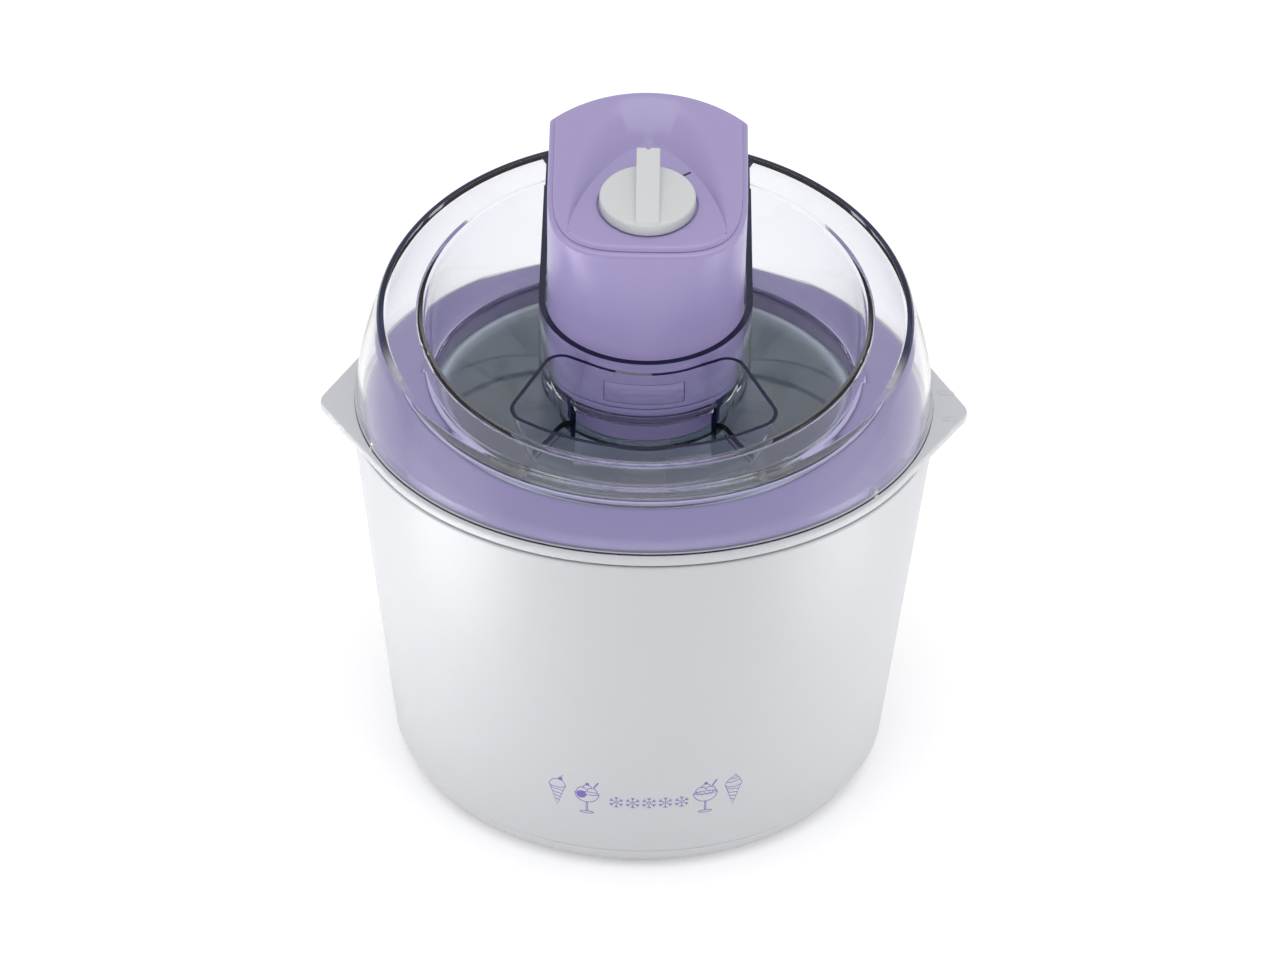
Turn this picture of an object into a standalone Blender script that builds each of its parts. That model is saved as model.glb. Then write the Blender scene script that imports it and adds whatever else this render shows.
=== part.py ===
"""Ice cream maker with a removable cooling bowl, a clear lid and a motor unit on top.

Metres, +Z up, the machine stands on Z = 0, its front looks along -Y and its ears point along X.
"""
import math

import bmesh
import bpy
from mathutils import Matrix, Vector

# ---------------------------------------------------------------- driving dimensions
GAP = 0.0003                 # between pieces that rest on each other
LID_Z = 0.1472               # height of the lid's lower edge, from which most heights are counted
FOOT_H = 0.002               # rubber feet stand out below the base by this much
TOP_TILT = 0.174             # slope of the lid's rim plane, higher at the back
SIDES = 48                   # flats round a large turned piece

HOUSING_TOP_R, HOUSING_LOW_R = 0.1062, 0.0926
HOUSING_TOP, HOUSING_LOW = -0.0041, -0.1376
BASE_LOW_R, BASE_LOW = 0.0880, -0.1452
WALL = 0.0025

FLANGE_R, FLANGE_T = 0.1060, 0.0031
EAR_TIP_X, EAR_Y, EAR_TIP_R = 0.1170, -0.0070, 0.0090
BOWL_TOP_R, BOWL_LOW_R, BOWL_LOW = 0.0995, 0.0870, -0.1300
POT_FLOOR, POT_WALL = -0.1180, 0.0015
COLLAR_R = 0.1015

LID_R, RIM_R, RIM_IN_R = 0.1050, 0.0960, 0.0795
RIM_H, SKIRT_H = 0.0365, 0.0025
LID_T = 0.0022
WELL_R, WELL_Z = 0.0755, 0.0066
LUG_ANGLES = (-38, 82, 202)
TWIST_DEG = 12

POCKET_W, POCKET_T = 0.0360, 0.0023
POCKET_LEDGE = 0.0133
POCKET_REAR_FOOT, POCKET_REAR_TOP = 0.0956, 0.0870
CUP_R, CUP_FLOOR = 0.0310, -0.0040
SHAFT_HOLE_R = 0.0125
CHUTE_SQUEEZE, CHUTE_FRONT = 0.85, 0.0700

MOTOR_W, MOTOR_T = 0.0352, 0.0022
MOTOR_LOW = POCKET_LEDGE + GAP
TOWER_CORNER_Y, TOWER_BACK_Y = 0.0260, 0.0400
FACE_FRONT, FACE_SLOPE = 0.0792, 0.330
TOP_POWER, FLARE_Z = 3.6, 0.0440
SEAM_T = 0.0016
RECESS_SLOPE = 0.176
RECESS_Y = -0.0250
KNOB_R, KNOB_Y = 0.0170, -0.0110

MODULE_1, MODULE_2 = 0.0010, 0.0012
PINION_Z, WHEEL_1_Z, PINION_2_Z, WHEEL_2_Z = 8, 36, 10, 40
LAY_Y = MODULE_2 * (PINION_2_Z + WHEEL_2_Z) / 2
MOTOR_Y = LAY_Y - MODULE_1 * (PINION_Z + WHEEL_1_Z) / 2

WHITE = (0.80, 0.81, 0.83, 1)
LILAC = (0.42, 0.35, 0.62, 1)
CLEAR = (0.80, 0.84, 0.95, 0.35)
ALU = (0.60, 0.62, 0.63, 1)
STEEL = (0.55, 0.55, 0.56, 1)
BLACK = (0.03, 0.03, 0.03, 1)
BRASS = (0.70, 0.52, 0.22, 1)
NATURAL = (0.86, 0.84, 0.78, 1)
GREEN = (0.05, 0.25, 0.12, 1)
COPPER = (0.60, 0.28, 0.12, 1)
GEL = (0.30, 0.55, 0.75, 1)


# ---------------------------------------------------------------- helpers
def material(name, color, roughness=0.4, metallic=0.0):
    mat = bpy.data.materials.get(name) or bpy.data.materials.new(name)
    mat.use_nodes = True
    mat.diffuse_color = color
    bsdf = mat.node_tree.nodes["Principled BSDF"]
    bsdf.inputs["Base Color"].default_value = color
    bsdf.inputs["Roughness"].default_value = roughness
    bsdf.inputs["Metallic"].default_value = metallic
    return mat


def solid(name, bm, color=None, roughness=0.4, metallic=0.0, origin=(0, 0, 0)):
    """Turn a bmesh into an object whose origin is at the given point."""
    bmesh.ops.recalc_face_normals(bm, faces=bm.faces)
    bmesh.ops.translate(bm, verts=bm.verts, vec=-Vector(origin))
    mesh = bpy.data.meshes.new(name)
    bm.to_mesh(mesh)
    bm.free()
    mesh.shade_smooth()
    mesh.set_sharp_from_angle(angle=math.radians(30))
    obj = bpy.data.objects.new(name, mesh)
    obj.location = origin
    bpy.context.collection.objects.link(obj)
    if color:
        mesh.materials.append(material(name, color, roughness, metallic))
    return obj


def boolean(obj, tool, operation):
    """Cut, join or keep with another object, which becomes a hidden guide."""
    mod = obj.modifiers.new(tool.name, "BOOLEAN")
    mod.object = tool
    mod.operation = operation
    mod.solver = "EXACT"
    tool.hide_render = True
    tool.display_type = "WIRE"
    return obj


def cut(obj, tool):
    return boolean(obj, tool, "DIFFERENCE")


def join(obj, tool):
    return boolean(obj, tool, "UNION")


def loft(rings, ends):
    """Skin closed rings of equal length; ends says whether the first and last are capped."""
    bm = bmesh.new()
    loops = [[bm.verts.new(p) for p in ring] for ring in rings]
    pairs = zip(loops, loops[1:]) if ends else zip(loops, loops[1:] + loops[:1])
    for low, high in pairs:
        for i in range(len(low)):
            j = (i + 1) % len(low)
            bm.faces.new((low[i], low[j], high[j], high[i]))
    if ends:
        bm.faces.new(loops[0])
        bm.faces.new(loops[-1])
    return bm


def turned(profile, sides=SIDES, center=(0, 0), lift=LID_Z, phase=0.0):
    """Turn a closed profile of (radius, height[, tilt weight]) about a vertical axis."""
    bm = bmesh.new()
    columns = []
    for k in range(sides):
        a = 2 * math.pi * k / sides + math.radians(phase)
        columns.append((math.cos(a), math.sin(a)))
    rings = []
    for point in profile:
        r, z = point[0], point[1]
        tilt = point[2] * TOP_TILT if len(point) > 2 else 0
        if r == 0:
            rings.append([bm.verts.new((center[0], center[1], z + lift))])
        else:
            rings.append([bm.verts.new((center[0] + r * c, center[1] + r * s, z + tilt * r * s + lift))
                          for c, s in columns])
    for a, b in zip(rings, rings[1:] + rings[:1]):
        if len(a) == 1 and len(b) == 1:
            continue
        for k in range(sides):
            j = (k + 1) % sides
            if len(a) == 1:
                bm.faces.new((a[0], b[j], b[k]))
            elif len(b) == 1:
                bm.faces.new((a[k], a[j], b[0]))
            else:
                bm.faces.new((a[k], a[j], b[j], b[k]))
    return bm


def prism(outline, bottom, top, foot=None):
    """Extrude an outline between two heights, which may be functions of (x, y)."""
    foot = foot or outline
    low = bottom if callable(bottom) else lambda x, y: bottom
    high = top if callable(top) else lambda x, y: top
    lower = [(x, y, low(x, y) + LID_Z) for x, y in foot]
    upper = [(x, y, high(x, y) + LID_Z) for x, y in outline]
    return loft([lower, upper], True)


def arc(cx, cy, r, start, stop, steps):
    """Points on an arc, in degrees, both ends included."""
    points = []
    for k in range(steps + 1):
        a = math.radians(start + (stop - start) * k / steps)
        points.append((cx + r * math.cos(a), cy + r * math.sin(a)))
    return points


def circle(r, cx=0.0, cy=0.0, steps=32, phase=0.0):
    return arc(cx, cy, r, phase, phase + 360 - 360 / steps, steps - 1)


def box_outline(x0, x1, y0, y1):
    return [(x0, y0), (x1, y0), (x1, y1), (x0, y1)]


def u_outline(half, back, steps=28):
    """A U seen from above: a half circle at the front and straight sides to the back."""
    return arc(0, 0, half, 180, 360, steps) + [(half, back), (-half, back)]


def tower_outline(inset=0.0, power=2.0, steps=28):
    """The motor tower from above: rounded front, straight sides and a shallow arc at the back.

    The front is a half circle at power 2 and grows squarer, with fuller corners, as the power rises.
    """
    half = MOTOR_W - inset
    corner, back = TOWER_CORNER_Y - inset * 0.4, TOWER_BACK_Y - inset
    sag = back - corner
    radius = (half * half + sag * sag) / (2 * sag)
    side = math.degrees(math.asin(half / radius))
    points = []
    for k in range(steps + 1):
        c, s = math.cos(math.pi * k / steps), math.sin(math.pi * k / steps)
        points.append((math.copysign(half * abs(c) ** (2 / power), -c), -half * abs(s) ** (2 / power)))
    return points + arc(0, back - radius, radius, 90 - side, 90 + side, 12)


def tower(low, mid, top, inset=0.0):
    """The tower's body: round up to the height mid, then flaring into the squarer top."""
    rings = []
    for power, height in ((2.0, low), (2.0, mid), (TOP_POWER, top)):
        level = height if callable(height) else lambda x, y, z=height: z
        rings.append([(x, y, level(x, y) + LID_Z) for x, y in tower_outline(inset, power)])
    return loft(rings, True)


def polar(r, degrees):
    a = math.radians(degrees)
    return r * math.cos(a), r * math.sin(a)


def face_plane(x, y):
    return FACE_FRONT + FACE_SLOPE * (y + MOTOR_W)


def seam_plane(x, y):
    return face_plane(x, y) - SEAM_T


def recess_floor(x, y):
    return face_plane(0, RECESS_Y) + RECESS_SLOPE * (y - RECESS_Y)


def gear(teeth, module, bottom, top, phase=0.0, fill=0.44):
    """A spur gear blank: trapezoid teeth, the first one centred on the phase angle in degrees."""
    pitch_r = module * teeth / 2
    pitch = 2 * math.pi / teeth
    outline = []
    for k in range(teeth):
        middle = k * pitch + math.radians(phase)
        for r, share in ((pitch_r - 1.2 * module, -0.70), (pitch_r + 0.9 * module, -0.26),
                         (pitch_r + 0.9 * module, 0.26), (pitch_r - 1.2 * module, 0.70)):
            a = middle + share * pitch * fill
            outline.append((r * math.cos(a), r * math.sin(a)))
    return prism(outline, bottom, top)


# ---------------------------------------------------------------- housing
SCREW_R, BOSS_R = 0.0815, 0.0040
BASE_SCREW_ANGLES = (45, 135, 225, 315)
PLATE_LOW, PLATE_TOP = -0.1427, -0.1402


def outer_housing():
    low_in = HOUSING_LOW_R - WALL
    profile = [(HOUSING_TOP_R - 0.0005, HOUSING_TOP), (HOUSING_TOP_R, HOUSING_TOP - 0.0006),
               (HOUSING_LOW_R, HOUSING_LOW), (low_in, HOUSING_LOW), (HOUSING_TOP_R - WALL, HOUSING_TOP)]
    obj = solid("outer_housing", turned(profile), WHITE, 0.30)
    for angle in BASE_SCREW_ANGLES:
        boss = prism(u_outline(BOSS_R, 0.0098, 12), HOUSING_LOW, HOUSING_LOW + 0.0065)
        bmesh.ops.rotate(boss, verts=boss.verts, matrix=Matrix.Rotation(math.radians(angle - 90), 3, "Z"))
        x, y = polar(SCREW_R, angle)
        bmesh.ops.translate(boss, verts=boss.verts, vec=(x, y, 0))
        join(obj, solid(f"guide_boss_{angle}", boss))
        hole = prism(circle(0.0017, x, y, 12), HOUSING_LOW - 0.001, HOUSING_LOW + 0.0055)
        cut(obj, solid(f"guide_boss_hole_{angle}", hole))
    return obj


def base_plate():
    rim_r = HOUSING_LOW_R - 0.0004
    profile = [(rim_r, HOUSING_LOW - 0.0004), (BASE_LOW_R, BASE_LOW), (BASE_LOW_R - 0.0018, BASE_LOW),
               (BASE_LOW_R - 0.0022, PLATE_LOW), (0, PLATE_LOW), (0, PLATE_TOP), (0.058, PLATE_TOP),
               (0.058, BOWL_LOW - GAP), (0.061, BOWL_LOW - GAP), (0.061, PLATE_TOP),
               (rim_r - 0.0045, PLATE_TOP), (rim_r - 0.0028, HOUSING_LOW - 0.0004)]
    obj = solid("base_plate", turned(profile), WHITE, 0.35)
    for angle in BASE_SCREW_ANGLES:
        x, y = polar(SCREW_R, angle)
        pad = prism(circle(0.0046, x, y, 12), PLATE_TOP - 0.0005, HOUSING_LOW - GAP)
        join(obj, solid(f"guide_pad_{angle}", pad))
        hole = prism(circle(0.0018, x, y, 12), PLATE_LOW - 0.001, HOUSING_LOW + 0.001)
        cut(obj, solid(f"guide_plate_hole_{angle}", hole))
    return obj


def screw(name, x, y, head_low, head_r, shank_r, length, up=True):
    """A pan-head screw; up means that it points up from a head at its lower end."""
    head_h, flip = 0.0018, 1 if up else -1
    profile = [(0, head_low), (head_r * 0.85, head_low), (head_r, head_low + flip * 0.0005),
               (head_r, head_low + flip * head_h), (shank_r, head_low + flip * head_h),
               (shank_r, head_low + flip * (head_h + length)),
               (0, head_low + flip * (head_h + length + 0.0008))]
    return solid(name, turned(profile, 8, (x, y)), STEEL, 0.35, 1.0, (x, y, LID_Z + head_low))


def base_screws():
    for number, angle in enumerate(BASE_SCREW_ANGLES, 1):
        x, y = polar(SCREW_R, angle)
        screw(f"base_screw_{number}", x, y, PLATE_LOW - GAP - 0.0018, 0.0031, 0.0014, 0.0085)


def feet():
    top = PLATE_LOW - GAP
    low = BASE_LOW - FOOT_H
    for number, angle in enumerate((0, 90, 180, 270), 1):
        x, y = polar(0.074, angle)
        profile = [(0.0070, top), (0.0070, low + 0.0008), (0.0062, low), (0, low), (0, top)]
        solid(f"rubber_foot_{number}", turned(profile, 16, (x, y)), BLACK, 0.8, 0.0, (x, y, LID_Z + top))


# ---------------------------------------------------------------- cooling bowl
def flange_outline(r=FLANGE_R, tip_x=EAR_TIP_X):
    """A circle with one rounded ear on each side, joined by straight tangents."""
    cx, cy = tip_x - EAR_TIP_R, EAR_Y
    heading = math.degrees(math.atan2(cy, cx))
    spread = math.degrees(math.acos((r - EAR_TIP_R) / math.hypot(cx, cy)))
    left = 180 - heading
    return (arc(0, 0, r, left + spread, heading + 360 - spread, 26)
            + arc(cx, cy, EAR_TIP_R, heading - spread, heading + spread, 8)
            + arc(0, 0, r, heading + spread, left - spread, 26)
            + arc(-cx, cy, EAR_TIP_R, left - spread, left + spread, 8))


def bowl_shell():
    top = -GAP
    obj = solid("bowl_shell", prism(flange_outline(), top - FLANGE_T, top), WHITE, 0.30)
    wall = [(BOWL_TOP_R, top - 0.001), (BOWL_LOW_R, BOWL_LOW + 0.003), (BOWL_LOW_R - 0.003, BOWL_LOW),
            (0, BOWL_LOW), (0, top - 0.001)]
    join(obj, solid("guide_bowl_wall", turned(wall)))
    inside = [(0.0970, 0.002), (0.0970, -0.006), (BOWL_LOW_R - 0.0020, BOWL_LOW + 0.004),
              (BOWL_LOW_R - 0.0040, BOWL_LOW + 0.002), (0, BOWL_LOW + 0.002), (0, 0.002)]
    cut(obj, solid("guide_bowl_inside", turned(inside)))
    hole = prism(circle(0.0060, 0.040, 0, 20), BOWL_LOW - 0.001, BOWL_LOW + 0.003)
    cut(obj, solid("guide_plug_hole", hole))
    return obj


def bowl_plug():
    low = BOWL_LOW + 0.0001
    profile = [(0.0056, BOWL_LOW + 0.0019), (0.0056, low), (0.0024, low), (0.0020, low + 0.0008),
               (0, low + 0.0008), (0, BOWL_LOW + 0.0019)]
    solid("filler_plug", turned(profile, 20, (0.040, 0)), WHITE, 0.5)


def inner_bowl():
    low = POT_FLOOR
    inside = [(0.0702, -0.0080), (0.0668, -0.0950), (0.0655, -0.1060), (0.0615, -0.1135), (0.0530, low),
              (0.0032, low), (0.0026, low + 0.0046), (0, low + 0.0052)]
    outside = [(0, low - POT_WALL), (0.0535, low - POT_WALL), (0.0626, -0.1146), (0.0670, -0.1064),
               (0.0683, -0.0950), (0.0730, -0.0079), (0.0840, -0.0079)]
    lip = [(0.0840, -0.0064), (0.0776, -0.0064), (0.0766, -0.0052), (0.0756, -0.0029), (0.0739, -0.0017),
           (0.0722, -0.0021), (0.0709, -0.0042)]
    solid("inner_bowl", turned(lip + inside + outside), ALU, 0.25, 1.0)


def coolant_fill():
    top = -0.0100
    outer = [(0.0960, top), (BOWL_LOW_R - 0.0024, BOWL_LOW + 0.0045),
             (BOWL_LOW_R - 0.0044, BOWL_LOW + 0.0024), (0, BOWL_LOW + 0.0024)]
    inner = [(0, POT_FLOOR - POT_WALL - 0.0004), (0.0537, POT_FLOOR - POT_WALL - 0.0004), (0.0632, -0.1147),
             (0.0675, -0.1065), (0.0688, -0.0950), (0.0735, top)]
    solid("coolant_fill", turned(outer + inner), GEL, 0.3)


def collar_ring():
    profile = [(COLLAR_R, 0.0), (COLLAR_R, 0.0009), (0.1005, 0.0017), (0.0900, 0.0028), (0.0815, 0.0036),
               (0.0794, 0.0037), (0.0784, 0.0028), (0.0780, -0.0060), (0.0846, -0.0060), (0.0846, -0.0020),
               (0.0965, -0.0020), (0.0965, 0.0)]
    obj = solid("collar_ring", turned(profile), LILAC, 0.35)
    for number, angle in enumerate(LUG_ANGLES, 1):
        outline = arc(0, 0, 0.1030, angle - 1.3, angle + TWIST_DEG + 2.1, 6)
        outline += arc(0, 0, 0.1001, angle + TWIST_DEG + 2.1, angle - 1.3, 6)
        cut(obj, solid(f"guide_groove_{number}", prism(outline, 0.0003, 0.003)))
    return obj


def paddle():
    """A one-piece stirring paddle: a flat stem, a scraper frame and slanted cross bars."""
    low = POT_FLOOR + 0.0012
    stem = prism(box_outline(-0.0088, 0.0088, -0.0035, 0.0035), low, -0.0125)
    obj = solid("paddle", stem, WHITE, 0.35)
    hub = [(0.0098, -0.0060), (0.0098, -0.0300), (0.0080, -0.0340), (0, -0.0340), (0, -0.0060)]
    join(obj, solid("guide_hub", turned(hub, 24, phase=2)))
    base = prism(box_outline(-0.0495, 0.0495, -0.0028, 0.0028), low, low + 0.0070)
    join(obj, solid("guide_paddle_base", base))
    for side in (-1, 1):
        rings = []
        for z, skew, reach in ((low + 0.0006, 0.0, 0.0505), (-0.1080, 0.0012, 0.0600),
                               (-0.0750, 0.0060, 0.0620), (-0.0450, 0.0120, 0.0615)):
            x0, x1 = sorted((side * reach, side * (reach - 0.0070)))
            y = side * skew
            rings.append([(x0, y - 0.0028, z + LID_Z), (x1, y - 0.0028, z + LID_Z),
                          (x1, y + 0.0028, z + LID_Z), (x0, y + 0.0028, z + LID_Z)])
        join(obj, solid(f"guide_blade_{side}", loft(rings, True)))
        rung = []
        for z in (-0.0660, -0.0600):
            far, y = side * 0.0580, side * 0.0085
            rung.append([(side * 0.004, -0.0020, z + LID_Z), (side * 0.004, 0.0020, z + LID_Z),
                         (far, y + 0.0020, z + 0.006 + LID_Z), (far, y - 0.0020, z + 0.006 + LID_Z)])
        join(obj, solid(f"guide_rung_{side}", loft(rung, True)))
    socket = [(0.0036, low + 0.0052), (0.0036, low - 0.001), (0, low - 0.001), (0, low + 0.0052)]
    cut(obj, solid("guide_pivot_socket", turned(socket, 24)))
    hexagon = prism(circle(0.0052, steps=6), -0.0260, 0.0)
    cut(obj, solid("guide_hex_socket", hexagon))
    return obj


# ---------------------------------------------------------------- lid
def lid_seal():
    profile = [(0.0806, 0.0042), (0.0784, 0.0042), (0.0782, 0.0050), (0.0786, 0.0060), (0.0804, 0.0060)]
    solid("lid_seal_ring", turned(profile), LILAC, 0.7)


def lid_profile():
    """Outer skin from the lower edge up over the rim and down the well, then the inner skin back."""
    t = LID_T
    foot_r = WELL_R + 0.0012
    outside = [(LID_R, 0.0)]
    for k in range(6):
        s = k / 5
        outside.append((LID_R - 0.0005 - (LID_R - RIM_R - 0.0008) * s ** 1.65,
                        SKIRT_H + (RIM_H - 0.0011 - SKIRT_H) * s, s))
    outside += [(RIM_R - 0.0006, RIM_H, 1), (RIM_IN_R + 0.0006, RIM_H, 1), (RIM_IN_R, RIM_H - 0.0006, 1)]
    for s in (0.5, 0.12):
        outside.append((foot_r + (RIM_IN_R - foot_r) * s, WELL_Z + (RIM_H - WELL_Z) * s, s))
    outside += [(WELL_R - 0.0012, WELL_Z), (CUP_R, WELL_Z), (CUP_R, CUP_FLOOR + 0.002),
                (SHAFT_HOLE_R, CUP_FLOOR + 0.002)]
    inside = [(SHAFT_HOLE_R, CUP_FLOOR), (CUP_R + POCKET_T, CUP_FLOOR), (CUP_R + POCKET_T, WELL_Z - t),
              (WELL_R, WELL_Z - t), (WELL_R + 0.0024, WELL_Z + 0.0006)]
    for s in (0.12, 0.5):
        inside.append((foot_r + t + (RIM_IN_R - foot_r) * s, WELL_Z + (RIM_H - WELL_Z) * s, s))
    inside += [(RIM_IN_R + t, RIM_H - t, 1), (RIM_R - t, RIM_H - t, 1)]
    for k in range(4, -1, -1):
        s = k / 5
        inside.append((LID_R - 0.0005 - t - (LID_R - RIM_R - 0.0008) * s ** 1.65,
                       SKIRT_H - 0.0004 + (RIM_H - 0.0011 - SKIRT_H) * s, s))
    inside.append((LID_R - t, 0.0))
    return outside + inside


def chute_outline(grow=0.0, squeeze=1.0, front=0.0755):
    """The kidney-shaped filler chute: wide round front, round ends and a hollow back."""
    points = arc(0, 0, front + grow, 270 - 33, 270 + 33, 12)
    points += arc(0.0385, -0.0535, 0.0085 + grow, -40, 40, 4)
    points += arc(0, 0, 0.0400 - grow, 317, 223, 10)
    points += arc(-0.0385, -0.0535, 0.0085 + grow, 140, 220, 4)
    return [(x * squeeze, y) for x, y in points]


def lid():
    obj = solid("lid_shell", turned(lid_profile()), CLEAR, 0.05)

    def pocket_top(x, y):
        return 0.0407 + 0.127 * y

    half = POCKET_W + POCKET_T
    walls = prism(u_outline(half, 0.0660), WELL_Z - LID_T + 0.0003, pocket_top)
    walls = solid("guide_pocket_wall", walls)
    rear_half, rear_foot = half - 0.0004, POCKET_REAR_FOOT
    rear = prism(box_outline(-rear_half, rear_half, 0.0630, POCKET_REAR_TOP), 0.0095,
                 lambda x, y: pocket_top(x, y) - 0.0001,
                 box_outline(-rear_half, rear_half, 0.0630, rear_foot))
    join(obj, solid("guide_pocket_rear", rear))
    fill = [(-0.0380, 0.0600), (0.0380, 0.0600)] + arc(0, 0, 0.0769, 60.4, 119.6, 6)
    join(obj, solid("guide_pocket_fill", prism(fill, WELL_Z - LID_T + 0.0008, 0.0100)))
    cut(walls, solid("guide_cup_room", prism(circle(CUP_R - 0.0003, steps=40, phase=1.7), 0.0, 0.1)))
    join(obj, walls)
    chute_foot = chute_outline(LID_T, CHUTE_SQUEEZE, CHUTE_FRONT)
    chute_wall = prism(chute_outline(LID_T), 0.0030, lambda x, y: 0.0389 + 0.172 * y, chute_foot)
    join(obj, solid("guide_chute_wall", chute_wall))
    room = prism(u_outline(POCKET_W, 0.115), POCKET_LEDGE, 0.09)
    cut(obj, solid("guide_pocket_room", room))
    throat = prism(chute_outline(), -0.0010, 0.060, chute_outline(0.0, CHUTE_SQUEEZE, CHUTE_FRONT))
    cut(obj, solid("guide_chute_throat", throat))
    for number, angle in enumerate(LUG_ANGLES, 1):
        lug = bmesh.new()
        bmesh.ops.create_cone(lug, cap_ends=True, segments=16, radius1=0.0011, radius2=0.0011, depth=0.0020)
        x, y = polar(LID_R - LID_T + 0.0003, angle)
        turn = Matrix.Rotation(math.radians(angle), 4, "Z") @ Matrix.Rotation(math.radians(90), 4, "Y")
        bmesh.ops.transform(lug, verts=lug.verts, matrix=Matrix.Translation((x, y, LID_Z + 0.0016)) @ turn)
        join(obj, solid(f"guide_lug_{number}", lug))
    return obj


# ---------------------------------------------------------------- motor unit casing
HOUSING_BASE = MOTOR_LOW + MOTOR_T + GAP
INNER_W = MOTOR_W - MOTOR_T
PLUG_LOW = CUP_FLOOR + 0.002 + GAP
PLUG_R = CUP_R - 0.0007
PLATE_Z, PLATE_T = 0.0320, 0.0015
POSTS = ((-0.0205, -0.0205), (0.0205, -0.0205), (-0.0275, 0.0140), (0.0275, 0.0140), (0.0, 0.0545))
CASE_SCREWS = ((-0.0278, 0.0320), (0.0278, 0.0320), (-0.0278, 0.0780), (0.0278, 0.0780))
TAIL_BACK = 0.0950
GLAND_Z = 0.0320
TONGUE_W, TONGUE_LOW, TONGUE_TOP = 0.0136, 0.0182, 0.0262


def tail_outline(half, front, radius):
    """The low tail behind the tower: straight sides and a back that follows the lid's round edge."""
    side = math.degrees(math.asin(half / radius))
    return [(-half, front), (half, front)] + arc(0, 0, radius, 90 - side, 90 + side, 10)


def base_outline(half, radius):
    side = math.degrees(math.asin(half / radius))
    return arc(0, 0, half, 180, 360, 28) + arc(0, 0, radius, 90 - side, 90 + side, 10)


def tail_top(x, y):
    return 0.0382 + 0.127 * y


def motor_base():
    """Bottom cover: a U-shaped plate with a round plug, and posts for the gear plate."""
    plate = prism(base_outline(MOTOR_W, TAIL_BACK), MOTOR_LOW, MOTOR_LOW + MOTOR_T)
    obj = solid("motor_base", plate, LILAC, 0.35)
    plug = [(PLUG_R, MOTOR_LOW + 0.001), (PLUG_R, PLUG_LOW + 0.001), (PLUG_R - 0.001, PLUG_LOW),
            (0, PLUG_LOW), (0, MOTOR_LOW + 0.001)]
    join(obj, solid("guide_plug", turned(plug, 40)))
    plug_in, floor, above = PLUG_R - MOTOR_T, PLUG_LOW + 0.0022, MOTOR_LOW + 0.0060
    room = turned([(plug_in, above), (plug_in, floor), (0, floor), (0, above)], 40)
    cut(obj, solid("guide_plug_room", room))
    cut(obj, solid("guide_bush_hole", prism(circle(0.0073), PLUG_LOW - 0.002, 0.004)))
    for number, (x, y) in enumerate(POSTS):
        post = prism(circle(0.0030, x, y, 10, 4), MOTOR_LOW + 0.0007, PLATE_Z - GAP)
        join(obj, solid(f"guide_post_{number}", post))
        hole = prism(circle(0.0013, x, y, 6), PLATE_Z - 0.0085, PLATE_Z)
        cut(obj, solid(f"guide_post_hole_{number}", hole))
    for number, (x, y) in enumerate(CASE_SCREWS):
        pad = prism(circle(0.0044, x, y, 10), MOTOR_LOW + 0.001, MOTOR_LOW + 0.0050)
        join(obj, solid(f"guide_case_pad_{number}", pad))
        sink = prism(circle(0.0034, x, y, 10), MOTOR_LOW - 0.001, MOTOR_LOW + 0.0024)
        cut(obj, solid(f"guide_case_sink_{number}", sink))
        hole = prism(circle(0.0017, x, y, 8), MOTOR_LOW, MOTOR_LOW + 0.006)
        cut(obj, solid(f"guide_case_hole_{number}", hole))
    pin_hole = prism(circle(0.0024, 0, LAY_Y, 12), MOTOR_LOW + 0.0005, MOTOR_LOW + 0.004)
    cut(obj, solid("guide_lay_pin_hole", pin_hole))
    return obj


def motor_housing():
    low = HOUSING_BASE
    obj = solid("motor_housing", tower(low, FLARE_Z, seam_plane), LILAC, 0.35)
    half, room_half = MOTOR_W - 0.0003, INNER_W - 0.0004

    def above(x, y):
        return seam_plane(x, y) + 0.001

    join(obj, solid("guide_tail", prism(tail_outline(half, 0.020, TAIL_BACK), low, tail_top)))
    cut(obj, solid("guide_tower_room", tower(low - 0.001, FLARE_Z, above, MOTOR_T)))
    tail_room = prism(tail_outline(room_half, 0.010, TAIL_BACK - MOTOR_T), low - 0.002,
                      lambda x, y: tail_top(x, y) - MOTOR_T)
    cut(obj, solid("guide_tail_room", tail_room))
    for number, (x, y) in enumerate(CASE_SCREWS):
        boss = prism(circle(0.0054, x, y, 12), MOTOR_LOW + 0.0053, 0.0330)
        join(obj, solid(f"guide_case_boss_{number}", boss))
        hole = prism(circle(0.0016, x, y, 8), MOTOR_LOW + 0.004, 0.0290)
        cut(obj, solid(f"guide_boss_bore_{number}", hole))
    cut(obj, across("guide_gland_hole", 0.0056, TAIL_BACK - 0.006, TAIL_BACK + 0.006, GLAND_Z))
    window = box_outline(-TONGUE_W - 0.0006, TONGUE_W + 0.0006, -MOTOR_W - 0.003, -INNER_W + 0.006)
    cut(obj, solid("guide_window", prism(window, TONGUE_LOW - 0.0004, TONGUE_TOP + 0.0004)))
    return obj


def across(name, r, y0, y1, z, color=None, inner=0.0, sides=24):
    """A round bar or tube that runs along Y."""
    profile = [(r, y1), (r, y0), (inner, y0), (inner, y1)]
    bm = turned(profile, sides, lift=0)
    bmesh.ops.rotate(bm, verts=bm.verts, matrix=Matrix.Rotation(math.radians(-90), 3, "X"))
    bmesh.ops.translate(bm, verts=bm.verts, vec=(0, 0, LID_Z + z))
    return solid(name, bm, color)


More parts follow.
